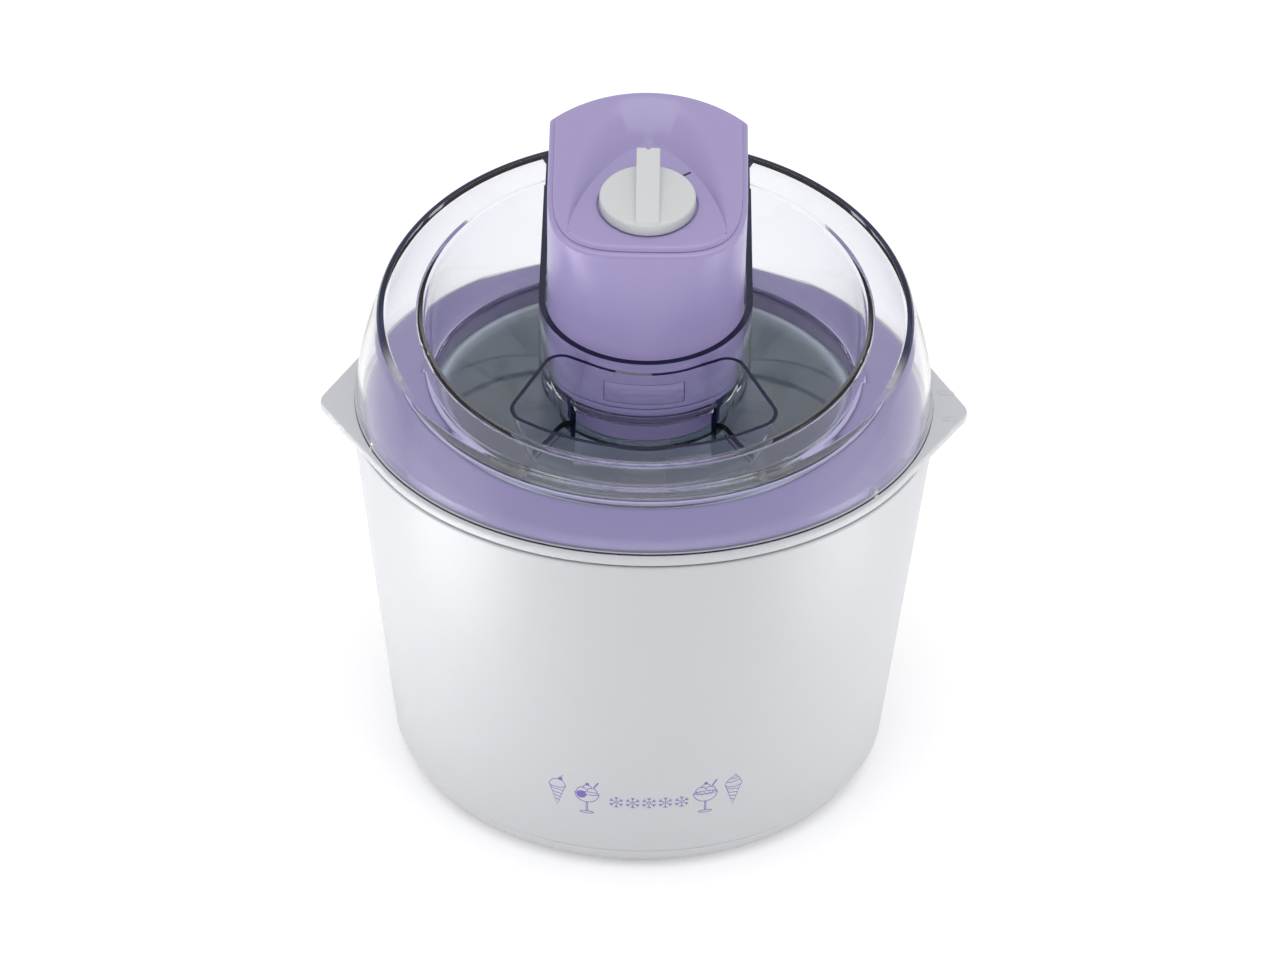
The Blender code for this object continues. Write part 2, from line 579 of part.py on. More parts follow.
def cable_gland():
    """Rubber bush in the back wall, where the supply cord would enter."""
    outer, inner, back = TAIL_BACK + 0.0018, TAIL_BACK - MOTOR_T - 0.0020, TAIL_BACK
    front = back - MOTOR_T - 2 * GAP
    profile = [(0.0072, outer), (0.0072, back + GAP), (0.0053, back + GAP), (0.0053, front),
               (0.0072, front), (0.0072, inner), (0.0036, inner), (0.0036, outer)]
    bm = turned(profile, 16, lift=0)
    bmesh.ops.rotate(bm, verts=bm.verts, matrix=Matrix.Rotation(math.radians(-90), 3, "X"))
    bmesh.ops.translate(bm, verts=bm.verts, vec=(0, 0, LID_Z + GLAND_Z))
    solid("cable_gland", bm, BLACK, 0.8)


def latch_tongue():
    """Curved tongue in a window of the front wall; its sides run straight back, so it can be pressed in."""
    outer, inner = (math.degrees(math.asin(TONGUE_W / r)) for r in (MOTOR_W, INNER_W))
    outline = arc(0, 0, MOTOR_W, 270 - outer, 270 + outer, 8)
    outline += arc(0, 0, INNER_W, 270 + inner, 270 - inner, 8)
    solid("latch_tongue", prism(outline, TONGUE_LOW, TONGUE_TOP), LILAC, 0.35)


def super_arch(half, apex, power, steps=20):
    """An arch that stands on a straight line just before RECESS_Y and rises to the apex."""
    start = RECESS_Y - 0.001
    points = []
    for k in range(steps + 1):
        a = math.pi * k / steps
        c, s = math.cos(a), abs(math.sin(a))
        points.append((math.copysign(half * abs(c) ** (2 / power), c),
                       start + (apex - start) * s ** (2 / power)))
    return points


def top_cover():
    """The sloped top panel, with a scooped recess in which the knob sits."""
    plate = prism(tower_outline(0.0019, TOP_POWER), lambda x, y: seam_plane(x, y) + GAP, face_plane)
    obj = solid("top_cover", plate, LILAC, 0.35)
    well = prism(super_arch(0.0299, 0.0370, 2.4), lambda x, y: recess_floor(x, y) - 0.0024,
                 lambda x, y: seam_plane(x, y) + 0.0008, super_arch(0.0299, 0.0250, 2.0))
    well = solid("guide_well", well)
    limit = prism(tower_outline(0.0027, TOP_POWER), 0.0600, 0.1400)
    boolean(well, solid("guide_well_limit", limit), "INTERSECT")
    join(obj, well)
    ring = prism(tower_outline(0.0028, TOP_POWER), lambda x, y: seam_plane(x, y) - 0.0030,
                 lambda x, y: seam_plane(x, y) + 0.0007)
    ring = solid("guide_spigot", ring)
    cut(ring, solid("guide_spigot_room", prism(tower_outline(0.0042, TOP_POWER), 0.0600, 0.1400)))
    join(obj, ring)
    floor = [(x, y, recess_floor(x, y) + LID_Z) for x, y in super_arch(0.0277, 0.0220, 2.0)]
    brim = [(x, y, face_plane(x, y) + 0.0005 + LID_Z) for x, y in super_arch(0.0277, 0.0369, 2.5)]
    above = [(x, y, z + 0.02) for x, y, z in brim]
    cut(obj, solid("guide_scoop", loft([floor, brim, above], True)))
    seat_r = KNOB_R + 0.0007
    seat = turned([(seat_r, 0.003), (seat_r, -0.0009), (0, -0.0009), (0, 0.003)], 48, lift=0)
    cut(obj, tilted("guide_knob_seat", seat))
    hole = turned([(0.0036, 0.003), (0.0036, -0.006), (0, -0.006), (0, 0.003)], 24, lift=0)
    cut(obj, tilted("guide_spindle_hole", hole))
    return obj


# ---------------------------------------------------------------- knob and switch
KNOB_ORIGIN = Vector((0, KNOB_Y, LID_Z + recess_floor(0, KNOB_Y)))


def tilted(name, bm, color=None, roughness=0.4, metallic=0.0):
    """Place a piece that is modelled at the origin on the knob's tilted axis."""
    turn = Matrix.Rotation(math.atan(RECESS_SLOPE), 4, "X")
    obj = solid(name, bm, color, roughness, metallic)
    obj.matrix_world = Matrix.Translation(KNOB_ORIGIN) @ turn
    return obj


def knob():
    low, top = -0.0005, 0.0042
    disc = [(KNOB_R - 0.0012, top), (KNOB_R - 0.0003, top - 0.0005), (KNOB_R, top - 0.0016), (KNOB_R, low),
            (0, low), (0, top)]
    obj = tilted("knob", turned(disc, 48, lift=0), WHITE, 0.3)
    side = [(-0.0163, 0.0020), (-0.0166, 0.0036), (-0.0158, 0.0050), (0.0178, 0.0108), (0.0185, 0.0102),
            (0.0183, 0.0018)]
    half = 0.0041
    bar = loft([[(x, y, z) for y, z in side] for x in (-half, half)], True)
    join(obj, tilted("guide_knob_bar", bar))
    notch = prism(box_outline(-0.0007, 0.0007, 0.0172, 0.0200), 0.0080, 0.0120)
    bmesh.ops.translate(notch, verts=notch.verts, vec=(0, 0, -LID_Z))
    cut(obj, tilted("guide_knob_notch", notch))
    socket = turned([(0.0034, 0.0033), (0.0034, low - 0.001), (0, low - 0.001), (0, 0.0033)], 24, lift=0)
    cut(obj, tilted("guide_knob_socket", socket))


def knob_spindle():
    profile = [(0.0030, 0.0030), (0.0030, -0.0105), (0, -0.0105), (0, 0.0030)]
    tilted("knob_spindle", turned(profile, 20, lift=0), NATURAL, 0.5)


def rotary_switch():
    body = prism(box_outline(-0.0100, 0.0100, -0.0085, 0.0085), -0.0165, -0.0030)
    bmesh.ops.translate(body, verts=body.verts, vec=(0, 0, -LID_Z))
    obj = tilted("rotary_switch", body, NATURAL, 0.5)
    hole = turned([(0.0033, 0.0), (0.0033, -0.0112), (0, -0.0112), (0, 0.0)], 20, lift=0)
    cut(obj, tilted("guide_switch_hole", hole))
    for side in (-1, 1):
        y = side * 0.0040
        tab = prism(box_outline(-0.0030, 0.0030, y - 0.0004, y + 0.0004), -0.0215, -0.0168)
        bmesh.ops.translate(tab, verts=tab.verts, vec=(0, 0, -LID_Z))
        tilted("switch_tab_1" if side < 0 else "switch_tab_2", tab, BRASS, 0.3, 1.0)


# ---------------------------------------------------------------- motor and gear train
WHEEL_LOW, WHEEL_TOP = 0.0172, 0.0232
LAY_LOW, LAY_TOP = 0.0250, 0.0295
CAN_LOW, CAN_TOP = 0.0360, 0.0600


def gear_plate():
    outline = arc(0, 0, 0.0300, 180, 360, 20) + [(0.0312, 0.0200), (0.0220, 0.0240), (0.0220, 0.0580),
                                               (-0.0220, 0.0580), (-0.0220, 0.0240), (-0.0312, 0.0200)]
    obj = solid("gear_plate", prism(outline, PLATE_Z, PLATE_Z + PLATE_T), STEEL, 0.35, 1.0)
    holes = [(x, y, 0.0016) for x, y in POSTS] + [(0, MOTOR_Y, 0.0052), (0, LAY_Y, 0.0024)]
    for number, (x, y, r) in enumerate(holes):
        tool = prism(circle(r, x, y, 16), PLATE_Z - 0.001, PLATE_Z + PLATE_T + 0.001)
        cut(obj, solid(f"guide_plate_opening_{number}", tool))


def plate_screws():
    for number, (x, y) in enumerate(POSTS, 1):
        head = PLATE_Z + PLATE_T + GAP + 0.0018
        screw(f"plate_screw_{number}", x, y, head, 0.0024, 0.0010, 0.0060, up=False)


def case_screws():
    for number, (x, y) in enumerate(CASE_SCREWS, 1):
        screw(f"case_screw_{number}", x, y, MOTOR_LOW + 0.0003, 0.0030, 0.0013, 0.0090)


def output_drive():
    """Output wheel, its shaft with a hexagonal end for the paddle, and the brass bush."""
    wheel = solid("output_gear", gear(WHEEL_2_Z, MODULE_2, WHEEL_LOW, WHEEL_TOP), NATURAL, 0.5)
    cut(wheel, solid("guide_output_bore", prism(circle(0.0043, steps=24), 0.0, 0.03)))
    shaft = prism(circle(0.0040, steps=24), -0.0070, 0.0240)
    shaft = solid("output_shaft", shaft, STEEL, 0.3, 1.0)
    join(shaft, solid("guide_hex", prism(circle(0.0045, steps=6), -0.0235, -0.0065)))
    bush = [(0.0094, PLUG_LOW + 0.0040), (0.0094, PLUG_LOW + 0.0025), (0.0070, PLUG_LOW + 0.0025),
            (0.0070, PLUG_LOW + 0.0003), (0.0042, PLUG_LOW + 0.0003), (0.0042, PLUG_LOW + 0.0040)]
    solid("output_bush", turned(bush, 20), BRASS, 0.35, 1.0)


def lay_gear():
    """Compound gear between the pinion and the output wheel, and its fixed pin."""
    wheel = gear(WHEEL_1_Z, MODULE_1, LAY_LOW, LAY_TOP, phase=-90)
    obj = solid("lay_gear", on_axis(wheel, LAY_Y), NATURAL, 0.5)
    small = gear(PINION_2_Z, MODULE_2, WHEEL_LOW, LAY_LOW + 0.001, phase=-90 + 180 / PINION_2_Z)
    join(obj, solid("guide_lay_pinion", on_axis(small, LAY_Y)))
    cut(obj, solid("guide_lay_bore", prism(circle(0.0021, 0, LAY_Y, 24), 0.0, 0.04)))
    pin = prism(circle(0.0019, 0, LAY_Y, 24), MOTOR_LOW + 0.0009, PLATE_Z + PLATE_T - GAP)
    solid("lay_pin", pin, STEEL, 0.3, 1.0)


def on_axis(bm, y):
    bmesh.ops.translate(bm, verts=bm.verts, vec=(0, y, 0))
    return bm


def motor():
    """Brushed motor: steel can, end cap, magnet ring, rotor on its shaft, commutator and pinion."""
    axis = (0, MOTOR_Y)
    can = [(0.0165, CAN_TOP), (0.0170, CAN_TOP - 0.0005), (0.0170, CAN_LOW), (0.0158, CAN_LOW),
           (0.0158, CAN_TOP - 0.0012), (0.0030, CAN_TOP - 0.0012), (0.0030, CAN_TOP)]
    solid("motor_can", turned(can, 28, axis), STEEL, 0.3, 1.0)
    cap = [(0.0170, CAN_LOW - GAP), (0.0170, PLATE_Z + PLATE_T + GAP), (0.0025, PLATE_Z + PLATE_T + GAP),
           (0.0025, CAN_LOW - GAP)]
    solid("motor_end_cap", turned(cap, 28, axis), BLACK, 0.5)
    magnet = [(0.0154, 0.0560), (0.0154, 0.0400), (0.0112, 0.0400), (0.0112, 0.0560)]
    solid("magnet_ring", turned(magnet, 24, axis), BLACK, 0.6)
    rotor = [(0.0020, 0.0595), (0.0020, 0.0550), (0.0105, 0.0550), (0.0105, 0.0410), (0.0020, 0.0410),
             (0.0020, 0.0245), (0, 0.0245), (0, 0.0595)]
    solid("rotor", turned(rotor, 18, axis), COPPER, 0.4, 1.0)
    ring = [(0.0050, 0.0402), (0.0050, 0.0370), (0.0023, 0.0370), (0.0023, 0.0402)]
    solid("commutator", turned(ring, 12, axis), COPPER, 0.2, 1.0)
    gap_phase = 90 + 180 / PINION_Z
    teeth = gear(PINION_Z, MODULE_1, LAY_LOW, LAY_TOP, gap_phase)
    pinion = solid("pinion", on_axis(teeth, MOTOR_Y), BRASS, 0.3, 1.0)
    cut(pinion, solid("guide_pinion_bore", prism(circle(0.0023, 0, MOTOR_Y, 16), 0.0, 0.05)))


def electrics():
    """Rectifier board with a capacitor, and the terminal block behind the gears."""
    board = prism(box_outline(-0.0180, 0.0180, 0.0600, 0.0840), 0.0200, 0.0216)
    solid("rectifier_board", board, GREEN, 0.5)
    capacitor = prism(circle(0.0055, 0.0080, 0.0680, 24), 0.0219, 0.0340)
    solid("capacitor", capacitor, BLACK, 0.4)
    block = prism(box_outline(-0.0150, -0.0030, 0.0640, 0.0740), 0.0219, 0.0310)
    terminal = solid("terminal_block", block, NATURAL, 0.5)
    for x in (-0.0120, -0.0060):
        cut(terminal, solid(f"guide_terminal_{x}", prism(circle(0.0016, x, 0.0690, 12), 0.0270, 0.0320)))


def build_all():
    outer_housing()
    base_plate()
    base_screws()
    feet()
    bowl_shell()
    bowl_plug()
    inner_bowl()
    coolant_fill()
    collar_ring()
    paddle()
    lid_seal()
    lid()
    motor_base()
    motor_housing()
    cable_gland()
    latch_tongue()
    top_cover()
    knob()
    knob_spindle()
    rotary_switch()
    gear_plate()
    plate_screws()
    case_screws()
    output_drive()
    lay_gear()
    motor()
    electrics()


for old in list(bpy.data.objects):
    bpy.data.objects.remove(old)
build_all()
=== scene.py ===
"""The ice cream maker's looks: finer pieces, materials, soft light and the camera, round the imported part."""
import math

import bmesh
import bpy
from mathutils import Matrix, Vector


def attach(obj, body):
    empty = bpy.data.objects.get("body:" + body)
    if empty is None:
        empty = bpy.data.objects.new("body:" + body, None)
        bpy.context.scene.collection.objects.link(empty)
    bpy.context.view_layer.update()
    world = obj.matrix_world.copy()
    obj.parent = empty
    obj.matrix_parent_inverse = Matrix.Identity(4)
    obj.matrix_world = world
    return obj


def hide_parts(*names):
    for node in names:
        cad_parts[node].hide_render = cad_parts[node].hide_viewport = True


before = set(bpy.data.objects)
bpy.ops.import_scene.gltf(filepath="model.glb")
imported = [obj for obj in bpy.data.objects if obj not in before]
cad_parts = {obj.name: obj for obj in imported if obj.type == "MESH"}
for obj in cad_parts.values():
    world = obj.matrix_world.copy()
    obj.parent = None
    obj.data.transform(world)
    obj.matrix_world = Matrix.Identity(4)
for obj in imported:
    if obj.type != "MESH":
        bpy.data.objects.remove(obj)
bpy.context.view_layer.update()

# ---- sizes that the part is built on: metres, degrees and slopes; heights are from the lid's foot
LID_Z = 0.1472
GAP = 0.0003
TILT = 0.174

HOUSING_TOP_R, HOUSING_LOW_R = 0.1062, 0.0926
HOUSING_TOP, HOUSING_LOW = -0.0041, -0.1376
BASE_R, BASE_LOW = 0.0880, -0.1452
FLANGE_R, FLANGE_T = 0.1060, 0.0031
EAR_TIP_X, EAR_Y, EAR_TIP_R = 0.11697, -0.0070, 0.0090
LID_R, RIM_R, RIM_IN_R = 0.1050, 0.0960, 0.0795
RIM_H, SKIRT_H, LID_T = 0.0365, 0.0025, 0.0022
WELL_R, WELL_Z = 0.0755, 0.0066
POCKET_W, POCKET_T, LEDGE = 0.0360, 0.0023, 0.0133
CUP_R, CUP_FLOOR, SHAFT_HOLE_R = 0.0310, -0.0040, 0.0125
CHUTE_T, CHUTE_R, CHUTE_FOOT_R, CHUTE_SQUEEZE = 0.0014, 0.0755, 0.0700, 0.85
WINDOW_HALF, RIB_T = 0.0243, 0.0016
RIB_FRONT, RIB_BACK = -0.0300, -0.0190
BEAD_OUT_R, BEAD_IN_R, BEAD_H = 0.0364, 0.0354, 0.0013
LUG_ANGLES = (-38, 82, 202)
TWIST = 12
MOTOR_W, TAIL_BACK = 0.0352, 0.0950
TOWER_CORNER_Y, TOWER_BACK_Y = 0.0260, 0.0400
FACE_FRONT, FACE_SLOPE, SEAM_T = 0.0792, 0.330, 0.0016
TOP_POWER, FLARE_Z = 3.6, 0.0440
RECESS_SLOPE, RECESS_Y = 0.176, -0.0250
KNOB_R, KNOB_Y = 0.0170, -0.0110
TONGUE_W, TONGUE_LOW, TONGUE_TOP = 0.0136, 0.0182, 0.0262
GLAND_Z = 0.0320


# ---- mesh helpers
FINE, WELD = 240, 2e-6


def arc(cx, cy, r, start, stop, steps):
    """Points on an arc, in degrees, both ends included."""
    turn = [math.radians(start + (stop - start) * k / steps) for k in range(steps + 1)]
    return [(cx + r * math.cos(a), cy + r * math.sin(a)) for a in turn]


def rounded(points, radius, steps=4):
    """A closed outline with rounded corners; a point may carry its own radius as a third number."""
    nearly_straight = math.radians(172)
    made = []
    for k, point in enumerate(points):
        here = Vector(point[:2])
        before = Vector(points[k - 1][:2]) - here
        after = Vector(points[(k + 1) % len(points)][:2]) - here
        want = point[2] if len(point) > 2 else radius
        angle = before.angle(after, math.pi)
        if want <= 0 or angle > nearly_straight:
            made.append(tuple(here))
            continue
        run = min(want / math.tan(angle / 2), 0.48 * before.length, 0.48 * after.length)
        r = run * math.tan(angle / 2)
        centre = here + (before.normalized() + after.normalized()).normalized() * (r / math.sin(angle / 2))
        first = here + before.normalized() * run - centre
        last = here + after.normalized() * run - centre
        sweep = first.angle_signed(last)
        for s in range(steps + 1):
            turn = Matrix.Rotation(-sweep * s / steps, 2)
            made.append(tuple(centre + turn @ first))
    return made


def ramp(x, a, b):
    """Rises smoothly from 0 at a to 1 at b."""
    t = max(0.0, min(1.0, (x - a) / (b - a)))
    return t * t * (3 - 2 * t)


def skin(rings, closed=False, caps=True):
    """Faces between rings of equal length; closed joins the last ring to the first."""
    bm = bmesh.new()
    loops = [[bm.verts.new(p) for p in ring] for ring in rings]
    pairs = list(zip(loops, loops[1:])) + ([(loops[-1], loops[0])] if closed else [])
    for low, high in pairs:
        for i in range(len(low)):
            j = (i + 1) % len(low)
            bm.faces.new((low[i], low[j], high[j], high[i]))
    if caps and not closed:
        bm.faces.new(loops[0])
        bm.faces.new(loops[-1])
    return bm


def spin(profile, sides=FINE, lift=LID_Z, weights=None):
    """Turns a closed profile of (radius, height) round a vertical axis; both may be functions of the angle.

    weights gives, for each point, how much it leans with the lid's tilted rim.
    """
    angles = [2 * math.pi * k / sides for k in range(sides)]
    rings = []
    for k, (r, z) in enumerate(profile):
        ring = []
        for a in angles:
            rr = r(a) if callable(r) else r
            zz = z(a) if callable(z) else z
            if weights:
                zz += weights[k] * TILT * rr * math.sin(a)
            ring.append((rr * math.cos(a), rr * math.sin(a), zz + lift))
        rings.append(ring)
    bm = skin(rings, closed=True)
    bmesh.ops.remove_doubles(bm, verts=bm.verts, dist=1e-7)
    return bm


def prism(outline, bottom, top, foot=None, lift=LID_Z):
    """Extrudes an outline between two heights, which may be functions of (x, y)."""
    foot = foot or outline
    low = bottom if callable(bottom) else lambda x, y: bottom
    high = top if callable(top) else lambda x, y: top
    return skin([laid(foot, low, lift), laid(outline, high, lift)])


def laid(outline, height, lift=LID_Z):
    """The outline as a ring in space, at a height that is a function of (x, y)."""
    return [(x, y, height(x, y) + lift) for x, y in outline]


def rod(radius, length, segments):
    """A closed cylinder round the origin, along z."""
    bm = bmesh.new()
    bmesh.ops.create_cone(bm, cap_ends=True, segments=segments, radius1=radius, radius2=radius, depth=length)
    return bm


def mesh_object(name, bm, crease=35):
    """Links a mesh as an object; edges sharper than crease degrees stay hard."""
    bmesh.ops.recalc_face_normals(bm, faces=bm.faces)
    mesh = bpy.data.meshes.new(name)
    bm.to_mesh(mesh)
    bm.free()
    mesh.shade_smooth()
    mesh.set_sharp_from_angle(angle=math.radians(crease))
    obj = bpy.data.objects.new(name, mesh)
    bpy.context.scene.collection.objects.link(obj)
    return obj


def carve(obj, bm, operation="DIFFERENCE"):
    """Cuts a closed mesh out of obj, or joins it on, and keeps the result as obj's own mesh."""
    tool = mesh_object("tool", bm)
    mod = obj.modifiers.new("carve", "BOOLEAN")
    mod.object, mod.operation, mod.solver = tool, operation, "EXACT"
    dg = bpy.context.evaluated_depsgraph_get()
    made = bpy.data.meshes.new_from_object(obj.evaluated_get(dg))
    obj.modifiers.clear()
    obj.data = made
    bpy.data.objects.remove(tool)
    return obj


def taken(obj):
    """The object's mesh as a tool for carve; the object goes."""
    bm = bmesh.new()
    bm.from_mesh(obj.data)
    bpy.data.objects.remove(obj)
    return bm


def settle(obj, crease=35):
    """Welds what a cut left behind and sets the shading."""
    bm = bmesh.new()
    bm.from_mesh(obj.data)
    bmesh.ops.remove_doubles(bm, verts=bm.verts, dist=WELD)
    bmesh.ops.dissolve_degenerate(bm, edges=bm.edges, dist=WELD)
    bm.to_mesh(obj.data)
    bm.free()
    obj.data.shade_smooth()
    obj.data.set_sharp_from_angle(angle=math.radians(crease))
    return obj


def piece(obj, body, mat, slot, *nodes):
    """Gives obj its material and body, and hides the CAD nodes that it stands in for; slot is not used."""
    obj.data.materials.clear()
    obj.data.materials.append(mat)
    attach(obj, body)
    if nodes:
        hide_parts(*nodes)
    return obj


def refine(node, body, mat, slot, bevel):
    """A finer copy of a CAD node, with its sharp edges rounded."""
    flat, sharp_from = math.radians(2), math.radians(38)
    bm = bmesh.new()
    bm.from_mesh(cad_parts[node].data)
    bmesh.ops.remove_doubles(bm, verts=bm.verts, dist=WELD)
    bmesh.ops.dissolve_limit(bm, angle_limit=flat, verts=bm.verts, edges=bm.edges)
    sharp = [e for e in bm.edges if len(e.link_faces) == 2 and e.calc_face_angle(0) > sharp_from]
    bmesh.ops.bevel(bm, geom=sharp, offset=bevel, offset_type="OFFSET", segments=2, profile=0.6,
                    affect="EDGES", clamp_overlap=True)
    return piece(mesh_object(node + "_fine", bm), body, mat, slot, node)


# ---- materials
class Nodes:
    """Short names for building one material's node tree."""

    def __init__(self, name):
        self.mat = bpy.data.materials.new(name)
        self.mat.use_nodes = True
        self.tree = self.mat.node_tree
        self.bsdf = self.tree.nodes["Principled BSDF"]
        self.out = self.tree.nodes["Material Output"]
        self.place = self.add("ShaderNodeTexCoord").outputs["Object"]

    def add(self, kind, **settings):
        node = self.tree.nodes.new(kind)
        for key, value in settings.items():
            setattr(node, key, value)
        return node

    def link(self, a, b):
        self.tree.links.new(a, b)

    def noise(self, scale, detail=3.0, rough=0.55, where=None):
        node = self.add("ShaderNodeTexNoise")
        node.inputs["Scale"].default_value = scale
        node.inputs["Detail"].default_value = detail
        node.inputs["Roughness"].default_value = rough
        self.link(where or self.place, node.inputs["Vector"])
        return node.outputs["Fac"]

    def spread(self, value, low, high, start=0.3, stop=0.7):
        node = self.add("ShaderNodeMapRange")
        for key, v in (("From Min", start), ("From Max", stop), ("To Min", low), ("To Max", high)):
            node.inputs[key].default_value = v
        self.link(value, node.inputs["Value"])
        return node.outputs["Result"]

    def blend(self, factor, a, b):
        node = self.add("ShaderNodeMix", data_type="RGBA")
        for socket, value in ((node.inputs["A"], a), (node.inputs["B"], b)):
            if isinstance(value, tuple):
                socket.default_value = (*value, 1)
            else:
                self.link(value, socket)
        self.link(factor, node.inputs["Factor"])
        return node.outputs["Result"]

    def maths(self, operation, a, b=0.0):
        node = self.add("ShaderNodeMath", operation=operation)
        for socket, value in zip(node.inputs, (a, b)):
            if isinstance(value, (int, float)):
                socket.default_value = value
            else:
                self.link(value, socket)
        return node.outputs[0]

    def bump(self, height, strength, distance=0.0002, normal=None):
        node = self.add("ShaderNodeBump")
        node.inputs["Strength"].default_value = strength
        node.inputs["Distance"].default_value = distance
        self.link(height, node.inputs["Height"])
        if normal:
            self.link(normal, node.inputs["Normal"])
        return node.outputs["Normal"]


def moulded(name, low, high, rough, grain, coat=0.0, soft=0.0):
    """Moulded plastic: slow colour drift, uneven gloss and a very fine grain."""
    n = Nodes(name)
    drift = n.spread(n.noise(14.0, 9.0, 0.78), 0.0, 1.0, 0.1, 0.9)
    n.link(n.blend(drift, low, high), n.bsdf.inputs["Base Color"])
    n.link(n.spread(n.noise(40.0, 8.0, 0.75), rough[0], rough[1], 0.1, 0.9), n.bsdf.inputs["Roughness"])
    n.link(n.bump(n.noise(2600.0, 2.0), grain, 0.00008), n.bsdf.inputs["Normal"])
    n.bsdf.inputs["Coat Weight"].default_value = coat
    n.bsdf.inputs["Coat Roughness"].default_value = 0.18
    n.bsdf.inputs["IOR"].default_value = 1.49
    if soft:
        n.bsdf.inputs["Subsurface Weight"].default_value = soft
        n.bsdf.inputs["Subsurface Radius"].default_value = (1.0, 0.9, 0.8)
        n.bsdf.inputs["Subsurface Scale"].default_value = 0.0015
    return n.mat


def metal(name, low, high, rough, rings=0.0, metallic=1.0):
    """Bare metal; rings is how many fine turning marks there are per metre of radius."""
    n = Nodes(name)
    drift = n.spread(n.noise(30.0, 4.0), 0.0, 1.0)
    n.link(n.blend(drift, low, high), n.bsdf.inputs["Base Color"])
    n.link(n.spread(n.noise(160.0, 3.0), rough[0], rough[1]), n.bsdf.inputs["Roughness"])
    n.bsdf.inputs["Metallic"].default_value = metallic
    normal = n.bump(n.noise(1800.0, 2.0), 0.1, 0.00006)
    if rings:
        flat = n.add("ShaderNodeVectorMath", operation="MULTIPLY")
        flat.inputs[1].default_value = (1, 1, 0)
        n.link(n.place, flat.inputs[0])
        length = n.add("ShaderNodeVectorMath", operation="LENGTH")
        n.link(flat.outputs[0], length.inputs[0])
        split = n.add("ShaderNodeSeparateXYZ")
        n.link(n.place, split.inputs[0])
        along = n.maths("ADD", length.outputs["Value"], split.outputs["Z"])
        join = n.add("ShaderNodeCombineXYZ")
        n.link(n.maths("MULTIPLY", along, rings), join.inputs[0])
        marks = n.noise(1.0, 2.0, 0.6, join.outputs[0])
        normal = n.bump(marks, 0.12, 0.00012, normal)
    n.link(normal, n.bsdf.inputs["Normal"])
    return n.mat


def clear_plastic(name, tint, edge):
    """Clear plastic with painted shade: deep blue and less clear where the mesh's edge attribute says so,
    standing in for light that runs along inside a wall.
    """
    n = Nodes(name)
    painted_shade = n.add("ShaderNodeAttribute", attribute_name="edge").outputs["Fac"]
    # painted shade: the edge colour darkens the lid's wall ends and rim edges
    n.link(n.blend(painted_shade, tint, edge), n.bsdf.inputs["Base Color"])
    n.link(n.spread(painted_shade, 1.0, 0.25, 0.0, 1.0), n.bsdf.inputs["Transmission Weight"])
    n.link(n.spread(n.noise(60.0, 3.0), 0.0, 0.035), n.bsdf.inputs["Roughness"])
    n.bsdf.inputs["IOR"].default_value = 1.42
    n.link(n.bump(n.noise(25.0, 2.0), 0.03, 0.0004), n.bsdf.inputs["Normal"])
    path = n.add("ShaderNodeLightPath")
    ray = n.maths("MAXIMUM", path.outputs["Is Shadow Ray"], path.outputs["Is Diffuse Ray"])
    through = n.add("ShaderNodeBsdfTransparent")
    through.inputs["Color"].default_value = (0.95, 0.96, 0.98, 1)
    mix = n.add("ShaderNodeMixShader")
    n.link(ray, mix.inputs["Fac"])
    n.link(n.bsdf.outputs[0], mix.inputs[1])
    n.link(through.outputs[0], mix.inputs[2])
    n.link(mix.outputs[0], n.out.inputs["Surface"])
    return n.mat


# moulded: two colours to drift between, roughness from and to, grain, clear coat, softness
WHITE = moulded("white_plastic", (0.560, 0.566, 0.592), (0.572, 0.578, 0.604), (0.30, 0.36), 0.05, 0.0, 0.06)
KNOB_WHITE = moulded("knob_white", (0.618, 0.627, 0.633), (0.632, 0.641, 0.647), (0.34, 0.40), 0.10,
                     0.0, 0.08)
LILAC = moulded("lilac_plastic", (0.350, 0.292, 0.535), (0.364, 0.304, 0.550), (0.26, 0.28), 0.05,
                0.25, 0.05)
# the collar's lilac is the tower's lilac painted darker: painted shade for the collar under the lid
LILAC_SATIN_SHADED = moulded("lilac_collar_shaded", (0.272, 0.235, 0.440), (0.284, 0.246, 0.455), (0.34, 0.42), 0.08,
                      0.1, 0.05)
SEAL = moulded("seal_silicone", (0.50, 0.45, 0.68), (0.53, 0.48, 0.71), (0.55, 0.65), 0.15, 0.0, 0.12)
RUBBER = moulded("black_rubber", (0.018, 0.018, 0.020), (0.030, 0.030, 0.032), (0.66, 0.76), 0.25)
BLACK = moulded("black_plastic", (0.020, 0.020, 0.022), (0.030, 0.030, 0.033), (0.36, 0.44), 0.15)
NYLON = moulded("natural_nylon", (0.66, 0.63, 0.55), (0.70, 0.67, 0.59), (0.40, 0.48), 0.10, 0.0, 0.12)
BOARD = moulded("circuit_board", (0.020, 0.130, 0.060), (0.030, 0.160, 0.075), (0.32, 0.40), 0.12)
COOLANT = moulded("coolant", (0.16, 0.36, 0.55), (0.20, 0.42, 0.60), (0.16, 0.22), 0.05, 0.0, 0.3)
ALUMINIUM = metal("bowl_aluminium", (0.50, 0.58, 0.63), (0.55, 0.63, 0.68), (0.36, 0.44), 2600.0, 0.40)
STEEL = metal("steel", (0.52, 0.52, 0.54), (0.60, 0.60, 0.61), (0.26, 0.36))
BRASS = metal("brass", (0.66, 0.48, 0.20), (0.73, 0.55, 0.25), (0.26, 0.36))
COPPER = metal("copper_winding", (0.58, 0.25, 0.11), (0.68, 0.32, 0.16), (0.30, 0.40))
PRINT = moulded("lilac_print", (0.170, 0.120, 0.450), (0.185, 0.135, 0.470), (0.36, 0.44), 0.05)
